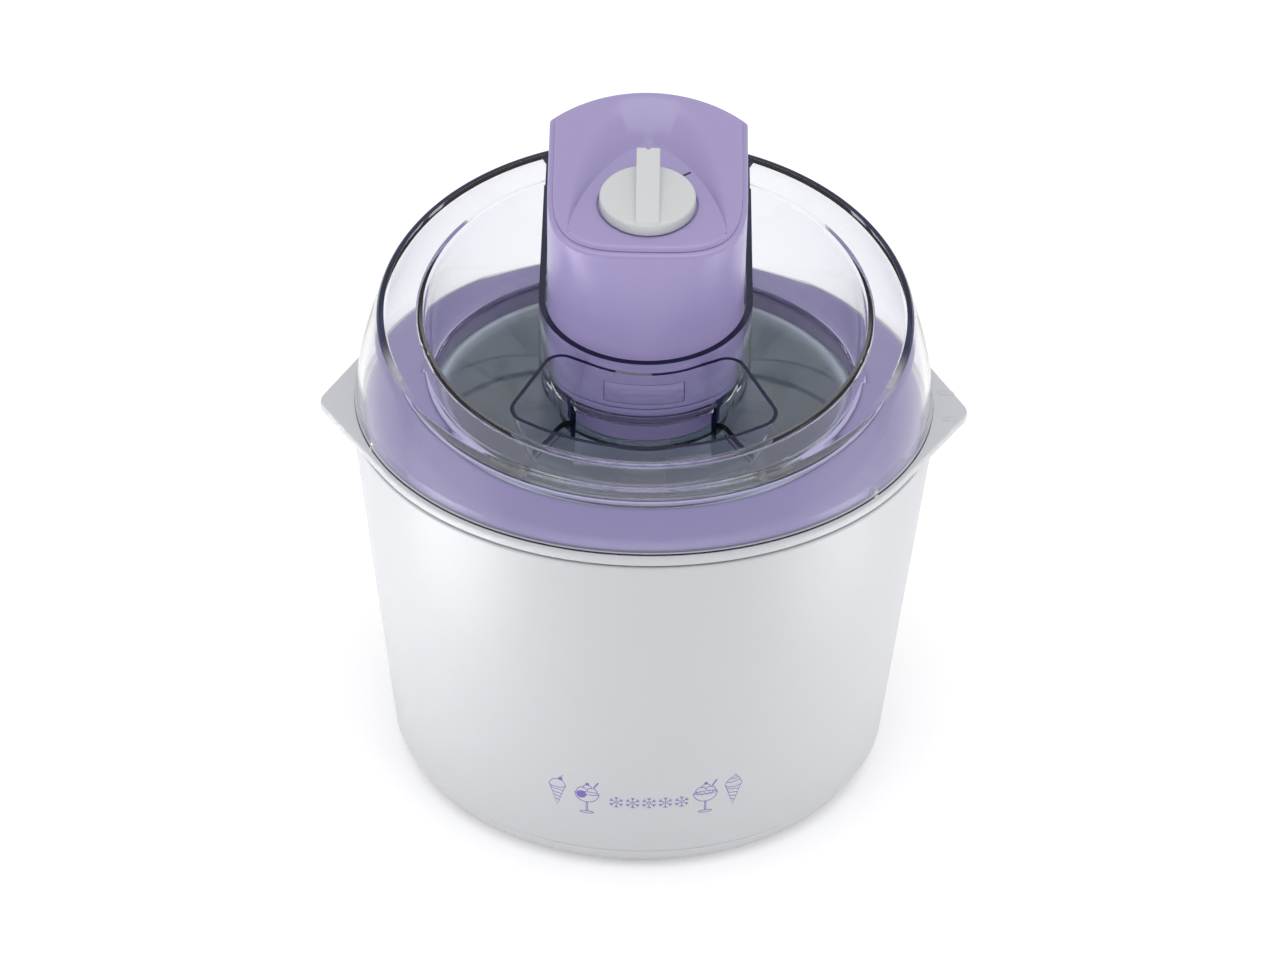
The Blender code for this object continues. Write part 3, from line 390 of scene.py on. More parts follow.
MARK = moulded("black_print", (0.010, 0.010, 0.012), (0.018, 0.018, 0.020), (0.4, 0.5), 0.05)
# the raised padlocks are the ear's white plastic painted grey: painted shade for their low relief
RAISED_SIGN_SHADED = moulded("raised_sign_shaded", (0.47, 0.48, 0.51), (0.49, 0.50, 0.53), (0.30, 0.36), 0.05)
# the second colour is painted shade: the deep blue on the lid's wall ends and rim edges
CLEAR = clear_plastic("clear_plastic", (0.972, 0.976, 0.990), (0.004, 0.006, 0.040))


# ---- housing
def housing():
    wall = 0.0025
    profile = rounded([(HOUSING_TOP_R, HOUSING_TOP, 0.0008), (HOUSING_LOW_R, HOUSING_LOW, 0.0003),
                       (HOUSING_LOW_R - wall, HOUSING_LOW, 0.0003),
                       (HOUSING_TOP_R - wall, HOUSING_TOP, 0.0008)], 0.0005)
    piece(mesh_object("housing_shell", spin(profile)), "housing", WHITE, "white_plastic", "outer_housing")
    rim, rim_top = HOUSING_LOW_R - 0.0004, HOUSING_LOW - 0.0004
    plate_low, plate_top, seat = -0.1427, -0.1402, -0.1303
    seat_in_r, seat_out_r, hole_r = 0.058, 0.061, 0.010
    profile = rounded([(hole_r, plate_low), (hole_r, plate_top), (seat_in_r, plate_top, 0.001),
                       (seat_in_r, seat, 0.0004), (seat_out_r, seat, 0.0004), (seat_out_r, plate_top, 0.001),
                       (rim - 0.0045, plate_top, 0.001), (rim - 0.0028, rim_top), (rim, rim_top, 0.0005),
                       (BASE_R, BASE_LOW, 0.0008), (BASE_R - 0.0018, BASE_LOW, 0.0006),
                       (BASE_R - 0.0024, plate_low, 0.001)], 0.0)
    base = mesh_object("base_cover", spin(profile))
    carve(base, prism(arc(0, 0, hole_r + 0.0012, 0, 357, 119), plate_low, plate_top), "UNION")
    piece(settle(base), "housing", WHITE, "white_plastic", "base_plate")


# ---- cooling bowl
def flange_outline(inset=0.0):
    """A circle with one rounded ear on each side, joined by straight tangents."""
    cx, cy = EAR_TIP_X - EAR_TIP_R, EAR_Y
    heading = math.degrees(math.atan2(cy, cx))
    spread = math.degrees(math.acos((FLANGE_R - EAR_TIP_R) / math.hypot(cx, cy)))
    left = 180 - heading
    return (arc(0, 0, FLANGE_R - inset, left + spread, heading + 360 - spread, 96)
            + arc(cx, cy, EAR_TIP_R - inset, heading - spread, heading + spread, 20)
            + arc(0, 0, FLANGE_R - inset, heading + spread, left - spread, 96)
            + arc(-cx, cy, EAR_TIP_R - inset, left - spread, left + spread, 20))


def bowl():
    angles = [math.atan2(y, x) for x, y in flange_outline()]
    top, low = -GAP, -GAP - FLANGE_T
    floor_low, floor_top, plug_r = -0.1300, -0.1280, 0.0090

    def edge(inset, z):
        return [(x, y, z + LID_Z) for x, y in flange_outline(inset)]

    def ring(r, z):
        return [(r * math.cos(a), r * math.sin(a), z + LID_Z) for a in angles]

    rings = [ring(0.0970, top - 0.0006), ring(0.0976, top), edge(0.0006, top), edge(0.0002, top - 0.00015),
             edge(0.0, top - 0.0005), edge(0.0, low + 0.0006), edge(0.0002, low + 0.0002), edge(0.0007, low),
             ring(0.0999, low), ring(0.0990, low - 0.0008), ring(0.0873, -0.1268), ring(0.0866, -0.1287),
             ring(0.0850, -0.1298), ring(0.0820, floor_low), ring(plug_r, floor_low), ring(plug_r, -0.1282),
             ring(0.0826, floor_top), ring(0.0845, -0.1272), ring(0.0852, -0.1255)]
    shell = mesh_object("bowl_wall", skin(rings, closed=True))
    carve(shell, prism(arc(0, 0, 0.0101, 0, 354, 59), floor_low, floor_top), "UNION")
    piece(settle(shell), "cooling_bowl", WHITE, "white_plastic", "bowl_shell")


def collar():
    """The lilac ring, with three shallow bayonet grooves in its rim."""
    fade = 0.008
    grooves = [(math.radians(a - 1.3), math.radians(a + TWIST + 2.1)) for a in LUG_ANGLES]

    def inside(a):
        """How deep into a bayonet groove this angle is: 0 outside, 1 inside."""
        best = 0.0
        for start, stop in grooves:
            span = stop - start
            here = (a - start) % (2 * math.pi)
            if here < span:
                best = max(best, min(1.0, here / fade, (span - here) / fade))
        return best

    def pull(r, deep):
        return lambda a: r + (min(r, deep) - r) * inside(a)

    profile = [(pull(0.1015, 0.1001), 0.0003), (pull(0.1015, 0.1000), 0.0008),
               (pull(0.1011, 0.0999), 0.0012), (pull(0.1002, 0.0997), 0.0018), (0.0970, 0.00215),
               (0.0930, 0.0025), (0.0890, 0.0029), (0.0850, 0.0033), (0.0828, 0.0035), (0.0815, 0.0035),
               (0.0804, 0.0031), (0.0796, 0.0023), (0.0790, 0.0011), (0.0786, -0.0005), (0.0780, -0.0056),
               (0.0783, -0.0060), (0.0846, -0.0060), (0.0846, -0.0020), (0.0965, -0.0020), (0.0965, 0.0),
               (0.1012, 0.0), (0.1015, 0.0002)]
    obj = mesh_object("collar", spin(profile, 2 * FINE), 40)
    # the collar gets the darker lilac, painted shade
    piece(obj, "cooling_bowl", LILAC_SATIN_SHADED, "lilac_plastic", "collar_ring")


def pot():
    """The spun pot: rolled lip, slightly conical wall, rounded foot and a small centring pin."""
    low, wall = -0.1180, 0.0015
    inside = [(0.0702, -0.0080), (0.0694, -0.030), (0.0685, -0.055), (0.0668, -0.0950), (0.0655, -0.1060),
              (0.0640, -0.1105), (0.0615, -0.1140), (0.0580, -0.1166), (0.0530, low), (0.0500, low),
              (0.0034, low), (0.0028, low + 0.0006), (0.0026, low + 0.0042), (0.0020, low + 0.0050),
              (0.0004, low + 0.0052)]
    outside = [(0.0004, low - wall), (0.0535, low - wall), (0.0600, -0.1172), (0.0636, -0.1136),
               (0.0670, -0.1064), (0.0683, -0.0950), (0.0730, -0.0079), (0.0840, -0.0079)]
    lip = [(0.0840, -0.0064), (0.0780, -0.0064), (0.0772, -0.0060), (0.0765, -0.0050), (0.0759, -0.0037),
           (0.0752, -0.0026), (0.0745, -0.0020), (0.0736, -0.00172), (0.0727, -0.0019), (0.0718, -0.0025),
           (0.0711, -0.0036), (0.0706, -0.0055)]
    piece(mesh_object("pot", spin(lip + inside + outside), 50), "cooling_bowl", ALUMINIUM, "bowl_aluminium",
          "inner_bowl")


# ---- lid
def pocket_top(x, y):
    return 0.0407 + 0.127 * y


def chute_top(x, y):
    return 0.0389 + 0.172 * y


def chute_outline(grow=0.0, squeeze=1.0, front=CHUTE_R):
    """The kidney-shaped filler chute: wide round front, tapering ends, soft corners and a hollow back."""
    side = [(0.0470, -0.0600 * front / CHUTE_R, 0.0080), (0.0318, -0.0285, 0.0055)]
    other = [(-x, y, r) for x, y, r in reversed(side)]
    line = arc(0, 0, front, 241, 299, 40) + side + arc(0, 0, 0.0395, 293, 247, 20) + other
    line = [Vector(q) for q in rounded(line, 0.0, 10)]
    made = []
    for k, q in enumerate(line):
        along = (line[(k + 1) % len(line)] - line[k - 1]).normalized()
        made.append(((q.x + along.y * grow) * squeeze, q.y - along.x * grow))
    return made


def u_outline(half, back):
    return arc(0, 0, half, 180, 360, 96) + [(half, back), (-half, back)]


def lid_profile():
    """(radius, height, lean) of the outer skin up over the rim and down the well, then of the inner skin."""
    t, step = LID_T, 12
    foot, brim, top = 0.0004, 0.0011, RIM_H
    well = WELL_R + 0.0012
    slope = RIM_IN_R - well

    def shoulder(s):
        return LID_R - 0.0005 - (LID_R - RIM_R - 0.0008) * s ** 1.65

    def wall(s, offset=0.0):
        return well + offset + slope * s, WELL_Z + (top - WELL_Z) * s, s

    out = [(LID_R, foot, 0.0)]
    for k in range(step + 1):
        s = k / step
        out.append((shoulder(s), SKIRT_H + (top - brim - SKIRT_H) * s, s))
    out += [(RIM_R - 0.0001, top - 0.0006, 1), (RIM_R - 0.0004, top - 0.0002, 1), (RIM_R - 0.0010, top, 1),
            (RIM_R - 0.0022, top, 1), (RIM_R - 0.0024, top, 1), (RIM_IN_R + 0.0017, top, 1),
            (RIM_IN_R + 0.0015, top, 1), (RIM_IN_R + 0.0010, top, 1), (RIM_IN_R + 0.0004, top - 0.0002, 1),
            (RIM_IN_R, top - 0.0008, 1)]
    out += [wall(s) for s in (0.8, 0.6, 0.4, 0.2, 0.10)]
    out += [(WELL_R + 0.0010, WELL_Z + 0.0014, 0), (WELL_R - 0.0002, WELL_Z + 0.0003, 0),
            (WELL_R - 0.0016, WELL_Z, 0), (CUP_R + 0.0012, WELL_Z, 0), (CUP_R + 0.0012, WELL_Z - t, 0),
            (WELL_R - 0.0004, WELL_Z - t, 0), (WELL_R + 0.0016, WELL_Z - 0.0010, 0),
            (WELL_R + 0.0026, WELL_Z + 0.0010, 0)]
    out += [wall(s, t) for s in (0.12, 0.3, 0.5, 0.7, 0.88)]
    out += [(RIM_IN_R + t, top - t - 0.0006, 1), (RIM_IN_R + t + 0.0006, top - t, 1),
            (RIM_R - t - 0.0008, top - t, 1)]
    for k in range(step - 1, -1, -1):
        s = k / step
        out.append((shoulder(s) - t, SKIRT_H - 0.0004 + (top - brim - SKIRT_H) * s, s))
    out += [(LID_R - t, 0.0002, 0), (LID_R - t + 0.0002, 0.0, 0), (LID_R - 0.0003, 0.0, 0)]
    return out


def lid():
    """The clear lid: a turned shell, the pocket and the chute joined on, then their hollows cut out."""
    points = lid_profile()
    weights = [lean for r, z, lean in points]
    obj = mesh_object("clear_lid", spin([(r, z) for r, z, lean in points], weights=weights))
    lid_walls(obj)
    lid_hollows(obj)
    for side in (-1, 1):
        ledge_rib(obj, side)
    wide, narrow = chute_outline(), chute_outline(0.0, CHUTE_SQUEEZE, CHUTE_FOOT_R)
    levels = ((narrow, lambda x, y: -0.0010), (narrow, lambda x, y: 0.0030), (wide, chute_top),
              (wide, lambda x, y: 0.0600))
    carve(obj, skin([laid(line, height) for line, height in levels]))
    for angle in LUG_ANGLES:
        lid_lug(obj, math.radians(angle))
    settle(obj, 32)
    # paints shade on the lid's wall ends and rim edges
    paint_edge_shade(obj)
    piece(obj, "lid", CLEAR, "clear_plastic", "lid_shell")


def lid_walls(obj):
    """Joins on the solid outsides of the pocket, the slot behind it, the chute and the cup."""
    half = POCKET_W + POCKET_T
    carve(obj, prism(u_outline(half, 0.0660), WELL_Z - LID_T + 0.0002, pocket_top), "UNION")
    rear_half = half - 0.0004

    def rear(back):
        return [(-rear_half, 0.0630), (rear_half, 0.0630), (rear_half, back), (-rear_half, back)]

    rear_top, rear_foot = rear(0.0870), rear(0.0956)
    rear_wall = prism(rear_top, 0.0095, lambda x, y: pocket_top(x, y) - 0.0001, rear_foot)
    carve(obj, rear_wall, "UNION")
    fill = [(-0.0380, 0.0600), (0.0380, 0.0600)] + arc(0, 0, 0.0769, 60.4, 119.6, 24)
    carve(obj, prism(fill, WELL_Z - LID_T + 0.0008, 0.0100), "UNION")
    foot = chute_outline(CHUTE_T, CHUTE_SQUEEZE, CHUTE_FOOT_R)
    carve(obj, prism(chute_outline(CHUTE_T), 0.0030, chute_top, foot), "UNION")
    cup = prism(arc(0, 0, CUP_R + POCKET_T + 0.0001, 0.5, 357.5, 119), CUP_FLOOR, LEDGE - 0.001)
    carve(obj, cup, "UNION")


def lid_hollows(obj):
    """Cuts the motor pocket, the room under its ledge, the cup, the shaft hole and the front window."""
    carve(obj, prism(u_outline(POCKET_W, 0.115), LEDGE, 0.09))
    room = mesh_object("hollow", prism(u_outline(POCKET_W - 0.0001, 0.0640), -0.0010, LEDGE - LID_T))
    carve(room, prism(arc(0, 0, CUP_R + POCKET_T, 0.8, 357.8, 119), -0.02, 0.03))
    carve(obj, taken(room))
    carve(obj, prism(arc(0, 0, CUP_R, 1.1, 358.1, 119), CUP_FLOOR + 0.002, LEDGE + 0.004))
    carve(obj, prism(arc(0, 0, SHAFT_HOLE_R, 0, 354, 59), CUP_FLOOR - 0.002, 0.003))
    front, back = -0.0470, -0.0150
    window = [(-WINDOW_HALF, front), (WINDOW_HALF, front), (WINDOW_HALF, back), (-WINDOW_HALF, back)]
    carve(obj, prism(window, -0.0012, LEDGE - LID_T - 0.0001))


def ledge_rib(obj, side):
    """The rib beside the front window and the bead on the ledge above it, on one side."""
    near, out = side * WINDOW_HALF, side * (WINDOW_HALF + RIB_T)
    rib = [(near, RIB_FRONT), (out, RIB_FRONT), (out, RIB_BACK), (near, RIB_BACK)]
    carve(obj, prism(rib, -0.0005, LEDGE - 0.0004), "UNION")
    start, stop = 270 + side * 44, 270 + side * 92
    bead = arc(0, 0, BEAD_OUT_R, start, stop, 40) + arc(0, 0, BEAD_IN_R, stop, start, 40)
    carve(obj, prism(bead, LEDGE - 0.0003, LEDGE + BEAD_H), "UNION")


def lid_lug(obj, angle):
    """One bayonet lug, pointing inwards from the skirt."""
    r = LID_R - LID_T + 0.0003
    lug = rod(0.0011, 0.0020, 32)
    where = Matrix.Translation((r * math.cos(angle), r * math.sin(angle), LID_Z + 0.0016))
    turn = Matrix.Rotation(angle, 4, "Z") @ Matrix.Rotation(math.radians(90), 4, "Y")
    bmesh.ops.transform(lug, verts=lug.verts, matrix=where @ turn)
    carve(obj, lug, "UNION")


def wall_end_shade(c, n):
    """How much painted shade a face with centre c and normal n gets: up to 1 where it ends a wall, or is part
    of a rib or bead.
    """
    x, z, r = abs(c.x), c.z - LID_Z, math.hypot(c.x, c.y)
    if n.z > 0.7 and abs(z - pocket_top(c.x, c.y)) < 0.0003 and x < 0.0386 and c.y > -0.0386:
        return 1.0
    on_rib = (WINDOW_HALF - 0.0003 < x < WINDOW_HALF + 0.0020
              and RIB_FRONT - 0.0003 < c.y < RIB_BACK + 0.0003 and -0.0008 < z < LEDGE)
    on_bead = BEAD_IN_R - 0.0003 < r < 0.0362 and c.y < 0.003 and LEDGE < z < LEDGE + BEAD_H + 0.0001
    if on_rib or (on_bead and x > WINDOW_HALF):
        return 1.0
    if n.z > 0.7 and abs(z - chute_top(c.x, c.y)) < 0.0003 and c.y < -0.02 and x < 0.055:
        return 0.35 + 0.65 * ramp(r, 0.042, 0.050)
    return 0.0


def rim_edge_shade(v):
    """How much painted shade the flat top of the rim gets at a point: its outer and inner edges, towards the
    back.
    """
    r = math.hypot(v.x, v.y)
    side = math.degrees(math.asin(max(-1.0, min(1.0, v.y / r))))
    outer = ramp(r, RIM_R - 0.0024, RIM_R - 0.0022) * ramp(side, -35, -12)
    inner = (1 - ramp(r, RIM_IN_R + 0.0015, RIM_IN_R + 0.0017)) * (1 - ramp(side, -12, 2)) * 0.2
    return max(outer, inner)


def paint_edge_shade(obj):
    """Stores the painted shade of each corner of the lid: 1 on the cut ends of its walls, less on the rim."""
    mesh = obj.data
    layer = mesh.attributes.new("edge", "FLOAT", "CORNER")
    for face in mesh.polygons:
        c, n = face.center, face.normal
        value = wall_end_shade(c, n)
        in_rim = n.z > 0.3 and c.z - LID_Z > RIM_H + TILT * c.y - 0.0009
        for corner in face.loop_indices:
            v = mesh.vertices[mesh.loops[corner].vertex_index].co
            layer.data[corner].value = max(value, rim_edge_shade(v)) if in_rim else value


# ---- motor unit
def tower_outline(inset=0.0, power=2.0, steps=112):
    half = MOTOR_W - inset
    corner, back = TOWER_CORNER_Y - inset * 0.4, TOWER_BACK_Y - inset
    sag = back - corner
    radius = (half * half + sag * sag) / (2 * sag)
    side = math.degrees(math.asin(half / radius))
    points = []
    for k in range(steps + 1):
        c, s = math.cos(math.pi * k / steps), math.sin(math.pi * k / steps)
        points.append((math.copysign(half * abs(c) ** (2 / power), -c), -half * abs(s) ** (2 / power)))
    rear = arc(0, back - radius, radius, 90 - side, 90 + side, 48)
    turn = 0.0022
    behind = [points[-1], (half, corner, turn)] + rear[1:-1] + [(-half, corner, turn), points[0]]
    return points[1:-1] + rounded(behind, 0.0, 6)


def face_plane(x, y):
    return FACE_FRONT + FACE_SLOPE * (y + MOTOR_W)


def seam_plane(x, y):
    return face_plane(x, y) - SEAM_T


def recess_floor(x, y):
    return face_plane(0, RECESS_Y) + RECESS_SLOPE * (y - RECESS_Y)


def tail_top(x, y):
    return 0.0382 + 0.127 * y


def casing():
    """Tower and tail of the motor unit, with a soft outer edge under the top cover."""
    low, wall, steps = 0.0161, 0.0024, 14

    def tower(inset, power, height):
        return laid(tower_outline(inset, power), height)

    rings = []
    for inset, height in ((0.0004, low), (0.0, low + 0.0004), (0.0, 0.030), (0.0, FLARE_Z)):
        rings.append(tower(inset, 2.0, lambda x, y: height))
    base_ring, top_ring = tower_outline(0, 2.0), tower_outline(0, TOP_POWER)
    for k in range(1, steps + 1):
        s = k / steps * 0.975
        ring = []
        for (x0, y0), (x1, y1) in zip(base_ring, top_ring):
            x, y = x0 + (x1 - x0) * s, y0 + (y1 - y0) * s
            ring.append((x, y, FLARE_Z + (seam_plane(x1, y1) - FLARE_Z) * s + LID_Z))
        rings.append(ring)
    for inset, drop in ((0.0, 0.0009), (0.00015, 0.0004), (0.0005, 0.0001), (0.0011, 0.0), (wall, 0.0)):
        rings.append(tower(inset, TOP_POWER, lambda x, y: seam_plane(x, y) - drop))
    rings += [tower(0.0030, TOP_POWER, lambda x, y: seam_plane(x, y) - 0.012),
              tower(wall, 2.0, lambda x, y: FLARE_Z), tower(wall, 2.0, lambda x, y: low)]
    obj = mesh_object("motor_casing", skin(rings, closed=True))
    carve(obj, tail_tool(low), "UNION")
    half, front = TONGUE_W + 0.0002, -MOTOR_W
    window = [(-half, front - 0.003), (half, front - 0.003), (half, front + 0.008), (-half, front + 0.008)]
    play = 0.00015
    carve(obj, prism(rounded(window, 0.0, 1), TONGUE_LOW - play, TONGUE_TOP + play))
    gland = rod(0.0056, 0.014, 48)
    turn = Matrix.Translation((0, TAIL_BACK, LID_Z + GLAND_Z)) @ Matrix.Rotation(math.radians(90), 4, "X")
    bmesh.ops.transform(gland, verts=gland.verts, matrix=turn)
    carve(obj, gland)
    piece(settle(obj, 30), "motor_unit", LILAC, "lilac_plastic", "motor_housing")


def tail_tool(low):
    """The tail, hollowed and cut off where the tower stands."""
    half, wall = MOTOR_W - 0.0003, 0.0022
    tail = mesh_object("tail", tail_body(half, TAIL_BACK, low))
    carve(tail, prism(tower_outline(0.0012, 2.0), low - 0.01, 0.2))
    room_half, room_back = half - 0.0023, TAIL_BACK - wall
    side = math.degrees(math.asin(room_half / room_back))
    room = [(-room_half, 0.010), (room_half, 0.010)] + arc(0, 0, room_back, 90 - side, 90 + side, 20)
    carve(tail, prism(room, low - 0.002, lambda x, y: tail_top(x, y) - wall))
    return taken(tail)


def tail_body(half, radius, low):
    """The low tail with rounded upper edges."""
    def outline(inset):
        r, h = radius - inset, half - inset
        side = math.degrees(math.asin(h / r))
        first, *back, last = arc(0, 0, r, 90 - side, 90 + side, 40)
        return rounded([(-h, 0.020), (h, 0.020), (*first, 0.004)] + back + [(*last, 0.004)], 0.0, 6)

    edge, steps = 0.0024, 5
    rings = [laid(outline(0.0), lambda x, y: low)]
    for k in range(steps + 1):
        a = math.pi / 2 * k / steps
        inset, drop = edge * (1 - math.cos(a)), edge * (1 - math.sin(a))
        rings.append(laid(outline(inset), lambda x, y: tail_top(x, y) - drop))
    return skin(rings)


def reach(outline, angle, cx, cy):
    """Distance from (cx, cy) to the outline along a direction."""
    dx, dy = math.cos(angle), math.sin(angle)
    best = 0.0
    for k, (x1, y1) in enumerate(outline):
        x0, y0 = outline[k - 1]
        ex, ey = x1 - x0, y1 - y0
        cross = dx * ey - dy * ex
        if abs(cross) < 1e-14:
            continue
        t = ((x0 - cx) * ey - (y0 - cy) * ex) / cross
        u = ((x0 - cx) * dy - (y0 - cy) * dx) / cross
        if t > 0 and -1e-6 <= u <= 1 + 1e-6:
            best = max(best, t)
    return best


def super_arch(half, apex, power, steps=90):
    """The upper half of a superellipse that stands on the recess's front edge."""
    start = RECESS_Y - 0.001
    points = []
    for k in range(steps + 1):
        a = math.pi * k / steps
        c, s = math.cos(a), abs(math.sin(a))
        x = math.copysign(half * abs(c) ** (2 / power), c)
        points.append((x, start + (apex - start) * s ** (2 / power)))
    return points


def cover():
    """Sloped top panel: a soft outer edge, a scooped recess and a shallow seat for the knob."""
    lean = math.sqrt(1 + RECESS_SLOPE ** 2)
    seat_r, hole_r, seat_deep = KNOB_R + 0.0007, 0.0036, 0.0009
    flat_r, edge_r = seat_r + 0.0004, 0.0013
    outer = tower_outline(0.0019, TOP_POWER)
    floor_edge, brim_edge = super_arch(0.0277, 0.0222, 1.5), super_arch(0.0279, 0.0405, 2.0)
    count, bends, edge_steps = 288, 14, 5
    turns = [2 * math.pi * (k + 0.5) / count for k in range(count)]
    nears, fars, wides = [], [], []
    for a in turns:
        wide = reach(outer, a, 0, KNOB_Y)
        near = max(seat_r + 0.0006, reach(floor_edge, a, 0, KNOB_Y))
        nears.append(near)
        fars.append(max(near + 0.0001, min(reach(brim_edge, a, 0, KNOB_Y), wide - 0.0016)))
        wides.append(wide)

    def surface(x, y):
        return min(face_plane(x, y), recess_floor(x, y))

    def seat(r, height):
        """A ring that is round seen square to the recess's sloping floor."""
        return laid([(r * math.cos(a), KNOB_Y + r * math.sin(a) / lean) for a in turns], height)

    def loop(radii, height):
        """A ring with its own radius in each direction round the knob."""
        return laid([(r * math.cos(a), KNOB_Y + r * math.sin(a)) for a, r in zip(turns, radii)], height)

    def between(low, high, s):
        return [a + (b - a) * s for a, b in zip(low, high)]

    rings = []
    for r, drop in ((hole_r, 0.0030), (hole_r, seat_deep), (seat_r, seat_deep)):
        rings.append(seat(r, lambda x, y: recess_floor(x, y) - drop * lean))
    for r, drop in ((seat_r, 0.0003), (seat_r + 0.0003, 0.0)):
        rings.append(seat(r, lambda x, y: surface(x, y) - drop))
    for s in (0.15, 0.35, 0.55, 0.75, 0.9, 1.0):
        rings.append(loop(between([flat_r] * count, nears, s), surface))
    for k in range(1, bends + 1):
        t = k / bends
        rise = (0.15 * t + 0.85 * (1 - (1 - t) ** 2)) * ramp(t, -0.25, 0.18)
        rings.append(loop(between(nears, fars, t),
                          lambda x, y: surface(x, y) + (face_plane(x, y) - surface(x, y)) * rise))
    for s in (0.25, 0.5, 0.75):
        rings.append(loop(between(fars, [r - edge_r for r in wides], s), face_plane))
    for k in range(edge_steps + 1):
        b = math.pi / 2 * k / edge_steps
        rim = [r - edge_r + edge_r * math.sin(b) for r in wides]
        rings.append(loop(rim, lambda x, y: face_plane(x, y) - edge_r * (1 - math.cos(b))))
    rings.append([(x, y, seam_plane(x, y) + GAP + LID_Z) for x, y, _ in rings[-1]])
    rings.append(loop([r - 0.0012 for r in wides], lambda x, y: seam_plane(x, y) + GAP))
    rings.append(loop([r + 0.0004 for r in nears],
                      lambda x, y: min(surface(x, y), seam_plane(x, y)) - 0.0026))
    obj = mesh_object("top_panel", skin(rings, closed=True), 28)
    piece(obj, "motor_unit", LILAC, "lilac_plastic", "top_cover")


KNOB_ORIGIN = Vector((0, KNOB_Y, LID_Z + recess_floor(0, KNOB_Y)))
KNOB_PLACE = Matrix.Translation(KNOB_ORIGIN) @ Matrix.Rotation(math.atan(RECESS_SLOPE), 4, "X")


def knob():
    """The switch's disc with its grip bar, made flat and then laid on the recess's sloping floor."""
    bore, face = 0.0034, 0.0042
    profile = rounded([(bore, 0.0030, 0), (bore, -0.0005, 0.0002), (KNOB_R, -0.0005, 0.0003),
                       (KNOB_R - 0.0001, face, 0.0011), (bore, face, 0)], 0.0, 6)
    obj = mesh_object("switch_knob", spin(profile, 144, lift=0))
    carve(obj, prism(arc(0, 0, 0.0040, 2, 352, 35), 0.0030, face, lift=0), "UNION")
    side = rounded([(-0.0163, 0.0020, 0), (-0.0166, 0.0036, 0.0006), (-0.0158, 0.0050, 0.0008),
                    (0.0178, 0.0108, 0.0006), (0.0185, 0.0102, 0.0004), (0.0183, 0.0018, 0)], 0.0005, 4)
    half, soft, softer = 0.0041, 0.0005, 0.00015
    middle = Vector((0.004, 0.0050))
    rings = []
    for x, inset in ((-half, soft), (-half + softer, softer), (-half + soft, 0.0), (half - soft, 0.0),
                     (half - softer, softer), (half, soft)):
        ring = []
        for p in side:
            v = Vector(p)
            pull = (middle - v).normalized() * inset
            ring.append((x, v.x + pull.x, v.y + pull.y))
        rings.append(ring)
    carve(obj, skin(rings), "UNION")
    slit, start, stop = 0.0007, 0.0170, 0.0200
    notch = rounded([(-slit, start), (slit, start), (slit, stop), (-slit, stop)], 0.0003)
    carve(obj, prism(notch, 0.0085, 0.0120, lift=0))
    settle(obj, 30)
    obj.data.transform(KNOB_PLACE)
    piece(obj, "knob", KNOB_WHITE, "knob_white", "knob")


def tick():
    """The printed line on the recess floor that the switch is turned to."""
    start, stop, half = Vector((0.0125, 0.0048)), Vector((0.0150, 0.0066)), 0.0004
    side = (stop - start).normalized().orthogonal() * half
    faces = []
    corners = [tuple(p) for p in (start - side, stop - side, stop + side, start + side)]
    for height in (0.00002, 0.00010):
        faces.append(laid(corners, lambda x, y: recess_floor(x, y) + height))
    piece(mesh_object("switch_mark", skin(faces)), "motor_unit", MARK, "black_plastic")


# ---- printed and raised signs
MM = 0.001
PRINT_T, PRINT_SINK = 0.00004, 0.00006


def on_housing(u, v, high):
    """A point above the housing's front wall: u across, v in height."""
    share = (v - HOUSING_LOW) / (HOUSING_TOP - HOUSING_LOW)
    r = HOUSING_LOW_R + (HOUSING_TOP_R - HOUSING_LOW_R) * share + high
    a = u / r - math.pi / 2
    return r * math.cos(a), r * math.sin(a), v + LID_Z


def on_ear(u, v, high):
    """A point above the flat top of the ears."""
    return u, v, LID_Z - GAP + high


def stroke(bm, points, width, place, closed=False):
    """A thin raised line along flat points, laid on a surface by place(u, v, height)."""
    flat, count = [Vector(p) for p in points], len(points)
    rows = []
    for k, p in enumerate(flat):
        before = flat[k - 1] if k or closed else p
        after = flat[(k + 1) % count] if k < count - 1 or closed else p
        along = (after - before).normalized() * width / 2
        a, b = Vector((p.x - along.y, p.y + along.x)), Vector((p.x + along.y, p.y - along.x))
        rows.append([bm.verts.new(place(q.x, q.y, h)) for q, h in
                     ((a, -PRINT_SINK), (a, PRINT_T), (b, PRINT_T), (b, -PRINT_SINK))])
    for low, high in zip(rows, rows[1:] + (rows[:1] if closed else [])):
        for i in range(4):
            j = (i + 1) % 4
            bm.faces.new((low[i], low[j], high[j], high[i]))
    if not closed:
        bm.faces.new(rows[0])
        bm.faces.new(rows[-1])


def blot(bm, points, place):
    """A filled shape, as thin as a stroke."""
    low = [bm.verts.new(place(u, v, -PRINT_SINK)) for u, v in points]
    high = [bm.verts.new(place(u, v, PRINT_T)) for u, v in points]
    bm.faces.new(low)
    bm.faces.new(high)
    for i in range(len(points)):
        j = (i + 1) % len(points)
        bm.faces.new((low[i], low[j], high[j], high[i]))


class Drawing:
    """Lines and filled shapes in millimetres about one middle point."""

    def __init__(self, bm, place, u, v, scale=1.0, width=0.27):
        self.bm, self.place = bm, place
        self.u, self.v = u * MM, v * MM
        self.scale, self.width = scale * MM, width * MM

    def at(self, points):
        return [(self.u + x * self.scale, self.v + y * self.scale) for x, y in points]

    def line(self, points, closed=False, width=None):
        stroke(self.bm, self.at(points), width * MM if width else self.width, self.place, closed)

    def fill(self, points):
        blot(self.bm, self.at(points), self.place)


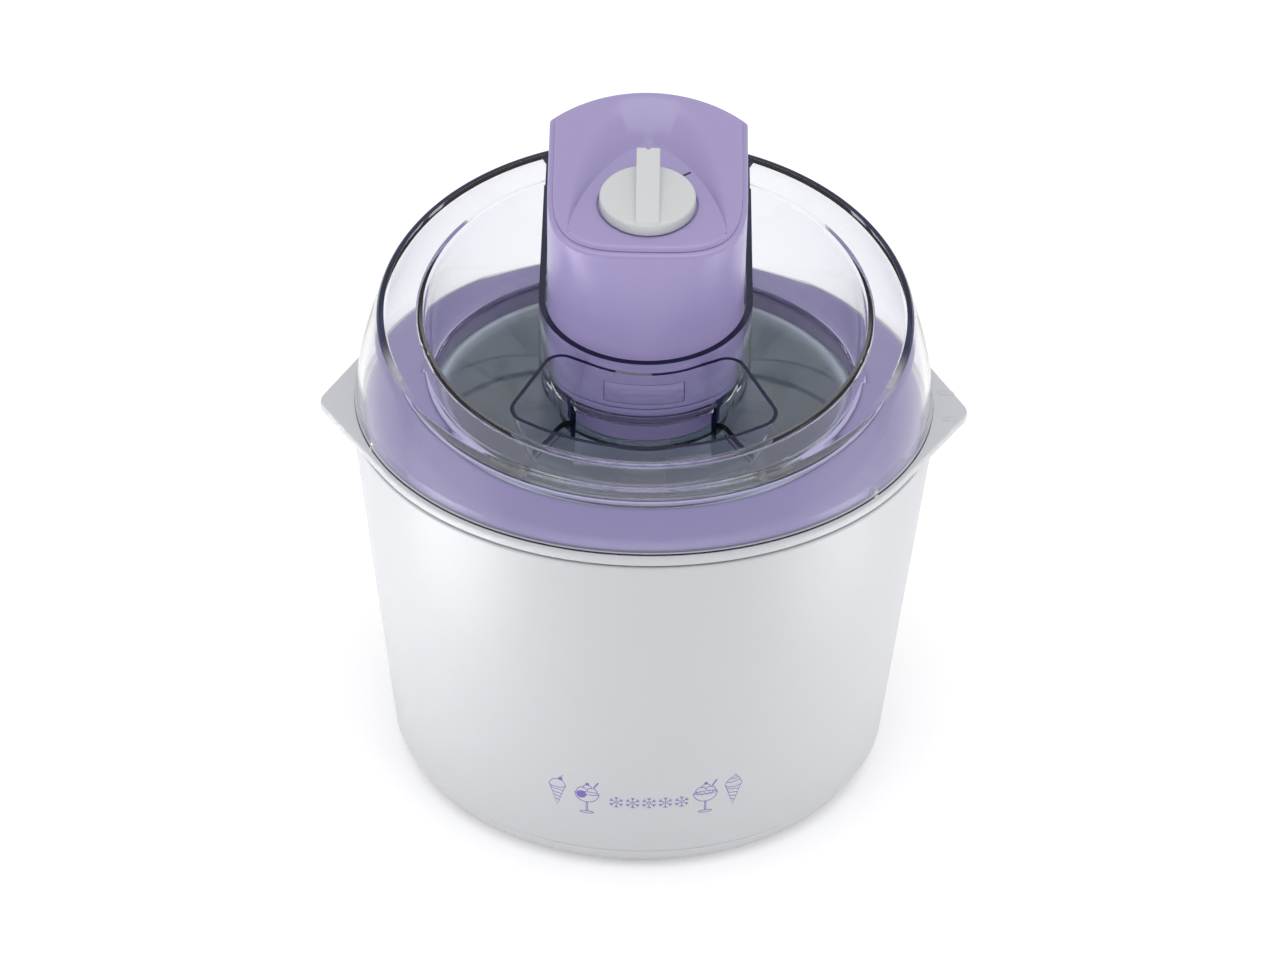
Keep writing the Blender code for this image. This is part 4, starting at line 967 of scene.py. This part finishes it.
def oval(cx, cy, rx, ry, steps=20):
    return [(cx + rx * x, cy + ry * y) for x, y in arc(0, 0, 1, 0, 360 - 360 / steps, steps - 1)]


def cone_sign(d, swirl):
    """A wafer cone with a round scoop and a cherry, or with a whipped top."""
    d.line([(-2.7, 2.5), (0, -6.2), (2.7, 2.5)])
    d.line([(-3.1, 2.8), (-1.6, 2.2), (0, 2.0), (1.6, 2.2), (3.1, 2.8)])
    for y in (1.0, -0.6, -2.2, -3.8):
        half = 2.7 * (y + 6.2) / 8.7
        d.line([(-half, y + 0.5), (-half * 0.3, y), (half * 0.3, y + 0.1), (half, y - 0.5)])
    if swirl:
        d.line([(3.1, 2.9), (3.2, 4.0), (2.2, 4.8), (2.6, 5.6), (1.5, 6.3), (1.4, 7.0), (0.5, 7.8),
                (0.3, 6.9), (-0.9, 6.4), (-1.8, 5.6), (-2.8, 4.2), (-3.1, 2.9)])
        d.line([(-2.2, 4.4), (-0.6, 4.2), (1.0, 4.6), (2.0, 5.0)])
        d.line([(-1.0, 5.9), (0.2, 5.7), (1.3, 6.2)])
    else:
        d.line([(x * (1 + 0.05 * math.cos(6 * x)), y) for x, y in arc(0, 2.8, 3.0, 0, 180, 18)])
        d.fill(oval(1.1, 6.2, 0.8, 0.75))
        d.line([(1.2, 6.9), (1.5, 7.5), (2.2, 7.8)])


def glass_sign(d, berry):
    """A footed glass with scoops, a cherry and a wafer stick."""
    d.line([(x, 1.9 + y * 0.95) for x, y in arc(0, 0, 4.2, 180, 360, 24)])
    d.line(oval(0, 1.9, 4.2, 0.7, 28), True)
    d.line([(0, -2.0), (-0.25, -3.4), (-0.25, -5.6), (0, -6.2)])
    d.line([(0.25, -2.1), (0.25, -5.6), (0.4, -6.2)])
    d.line(oval(0, -6.7, 2.4, 0.5), True)
    d.line(arc(-1.6, 2.6, 1.9, 10, 190, 16))
    d.line(arc(1.7, 2.6, 1.8, -10, 150, 16))
    d.line(arc(0.1, 4.1, 1.6, 0, 180, 14))
    d.fill(oval(0.1, 6.1, 0.65, 0.6))
    d.line([(2.3, 4.6), (3.9, 7.2)], width=0.55)
    if berry:
        d.fill(oval(-1.9, 1.2, 1.75, 1.65, 28))
    else:
        d.line([(-3.2, 2.6), (-2.6, 1.0), (-1.9, 2.2), (-1.2, 0.6), (-0.4, 2.1), (0.4, 0.7), (1.2, 2.2),
                (1.9, 0.8), (2.6, 2.1), (3.2, 2.6)])


def crystal_sign(d):
    """A six-armed snow crystal."""
    arm = 2.3
    for k in range(6):
        a = math.radians(60 * k + 30)
        c, s = math.cos(a), math.sin(a)

        def turned(points):
            return [(x * c - y * s, x * s + y * c) for x, y in points]

        d.line(turned([(0.25, 0), (arm, 0)]))
        for side in (1, -1):
            d.line(turned([(arm * 0.92, 0.62 * side), (arm * 0.64, 0.06 * side)]))


def padlock_sign(d, open_by):
    """A padlock lying on its side, its hoop shut or standing open."""
    d.line([(0, -1.3), (3.2, -1.3), (3.2, 1.3), (0, 1.3)], True)
    bow = [(x * 1.3 - 0.8, y + open_by / 2) for x, y in arc(0, 0, 0.9 + open_by / 3, 90, 270, 12)]
    d.line([(0, 0.9 + open_by)] + bow + [(0, -0.9)])


def signs():
    """The row printed on the housing and the two raised padlocks on the right ear."""
    bm = bmesh.new()
    cone_sign(Drawing(bm, on_housing, -29.1, -112.3, 1.04), False)
    glass_sign(Drawing(bm, on_housing, -18.1, -112.9, 1.06), True)
    glass_sign(Drawing(bm, on_housing, 24.9, -112.7, 1.06), False)
    cone_sign(Drawing(bm, on_housing, 35.4, -112.4, 1.04), True)
    middle, spacing = 4.4, 5.9
    for k in range(-2, 3):
        crystal_sign(Drawing(bm, on_housing, middle + spacing * k, -113.9, 1.15, 0.26))
    piece(mesh_object("front_print", bm), "housing", PRINT, "lilac_plastic")
    bm = bmesh.new()
    for v, open_by in ((4.2, 1.3), (-13.0, 0.0)):
        padlock_sign(Drawing(bm, on_ear, 109.6, v, 1.0, 0.30), open_by)
    # painted shade: the padlocks' grey
    piece(mesh_object("ear_signs", bm), "cooling_bowl", RAISED_SIGN_SHADED, "white_plastic")


# ---- floor, light, camera
def floor():
    """A white floor that glows a little, so that it reads as the photo's plain background."""
    bm = bmesh.new()
    bmesh.ops.create_grid(bm, x_segments=8, y_segments=8, size=4.0)
    ground = mesh_object("floor", bm)
    n = Nodes("floor_paint")
    drift = n.spread(n.noise(1.5, 2.0), 0.0, 1.0)
    n.link(n.blend(drift, (0.93, 0.93, 0.935), (0.95, 0.95, 0.955)), n.bsdf.inputs["Base Color"])
    n.bsdf.inputs["Roughness"].default_value = 0.6
    n.bsdf.inputs["Emission Color"].default_value = (1.0, 1.0, 1.0, 1)
    n.bsdf.inputs["Emission Strength"].default_value = 0.22
    ground.data.materials.append(n.mat)


def studio():
    """An even white room, a large lamp overhead, and a pool of light and a faint panel on each side."""
    world = bpy.data.worlds.new("studio")
    bpy.context.scene.world = world
    world.use_nodes = True
    room = world.node_tree.nodes["Background"]
    room.inputs["Color"].default_value = (1.0, 1.0, 1.0, 1)
    room.inputs["Strength"].default_value = 0.745
    data = bpy.data.lights.new("top", "AREA")
    data.size, data.energy = 1.4, 9.0
    hang(data, (0.0, -0.3, 1.9), (0.0, 0.0, 0.12))
    pool_height = 1.2
    for name, x, y, power in (("left_pool", -0.32, -0.16, 270.0), ("right_pool", 0.33, -0.14, 150.0)):
        data = bpy.data.lights.new(name, "SPOT")
        data.energy, data.shadow_soft_size = power, 0.04
        data.spot_size, data.spot_blend = math.radians(16.0), 0.8
        hang(data, (x, y, pool_height), (x, y, 0.0))
    panel_height = 0.16
    for name, x, y, power in (("left_panel", -0.36, -0.15, 0.12), ("right_panel", 0.38, -0.13, 0.09)):
        data = bpy.data.lights.new(name, "AREA")
        data.shape, data.energy = "RECTANGLE", power
        data.size, data.size_y = 0.32, 0.40
        soften(data)
        hang(data, (x, y, panel_height), (0.0, 0.0, panel_height))


def soften(data):
    """Lets a panel's light fade out towards its edges, like a softbox."""
    data.use_nodes = True
    tree = data.node_tree

    def maths(operation, a, b):
        node = tree.nodes.new("ShaderNodeMath")
        node.operation = operation
        for socket, value in zip(node.inputs, (a, b)):
            if isinstance(value, float):
                socket.default_value = value
            else:
                tree.links.new(value, socket)
        return node.outputs[0]

    split = tree.nodes.new("ShaderNodeSeparateXYZ")
    tree.links.new(tree.nodes.new("ShaderNodeNewGeometry").outputs["Parametric"], split.inputs[0])
    along, across = [maths("MULTIPLY", split.outputs[axis], maths("SUBTRACT", 1.0, split.outputs[axis]))
                     for axis in ("X", "Y")]
    whole = maths("MULTIPLY", maths("MULTIPLY", along, across), 36.0)
    tree.links.new(whole, tree.nodes["Emission"].inputs["Strength"])


def hang(data, place, target):
    """Puts a lamp in place, aimed at the target and out of the camera's sight."""
    lamp = bpy.data.objects.new(data.name, data)
    lamp.location = place
    lamp.rotation_euler = (Vector(target) - Vector(place)).to_track_quat("-Z", "Y").to_euler()
    lamp.visible_camera = False
    bpy.context.scene.collection.objects.link(lamp)


def camera():
    """The photo's camera, as fitted to the round edges of the machine."""
    pitch, distance, roll = 0.5803, 1.4527, 0.0177
    shift_right, shift_up = 0.001272, 0.031183
    forward = Vector((0, math.cos(pitch), -math.sin(pitch)))
    up = Vector((0, math.sin(pitch), math.cos(pitch)))
    right = Vector((1, 0, 0))
    place = Vector((0, 0, LID_Z)) - forward * distance - right * shift_right - up * shift_up
    data = bpy.data.cameras.new("camera")
    data.lens, data.sensor_width = 112.68, 36
    cam = bpy.data.objects.new("camera", data)
    rot = Matrix((right, up, -forward)).transposed().to_4x4() @ Matrix.Rotation(roll, 4, "Z")
    cam.matrix_world = Matrix.Translation(place) @ rot
    bpy.context.scene.collection.objects.link(cam)
    bpy.context.scene.camera = cam
    bpy.context.scene.view_settings.view_transform = "Standard"


# ---- build
housing()
bowl()
collar()
pot()
lid()
casing()
cover()
knob()
tick()
signs()
refine("paddle", "paddle", WHITE, "white_plastic", 0.0006)
refine("lid_seal_ring", "lid_seal", SEAL, "seal_silicone", 0.0002)
refine("motor_base", "motor_unit", LILAC, "lilac_plastic", 0.0003)
refine("latch_tongue", "latch", LILAC, "lilac_plastic", 0.0004)
refine("cable_gland", "motor_unit", RUBBER, "black_rubber", 0.0004)
for number in range(1, 5):
    refine(f"rubber_foot_{number}", "housing", RUBBER, "black_rubber", 0.0003)

# CAD nodes that are seen as they are, by material
KEPT = {
    WHITE: ("filler_plug",),
    COOLANT: ("coolant_fill",),
    STEEL: ["gear_plate", "lay_pin", "motor_can", "output_shaft"]
           + [f"base_screw_{k}" for k in range(1, 5)] + [f"plate_screw_{k}" for k in range(1, 6)]
           + [f"case_screw_{k}" for k in range(1, 5)],
    BLACK: ("motor_end_cap", "magnet_ring", "capacitor", "terminal_block"),
    BRASS: ("output_bush", "switch_tab_1", "switch_tab_2", "pinion"),
    NYLON: ("rotary_switch", "knob_spindle", "lay_gear", "output_gear"),
    COPPER: ("rotor", "commutator"),
    BOARD: ("rectifier_board",),
}
for mat, names in KEPT.items():
    for name in names:
        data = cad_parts[name].data
        data.materials.clear()
        data.materials.append(mat)

floor()
studio()
camera()
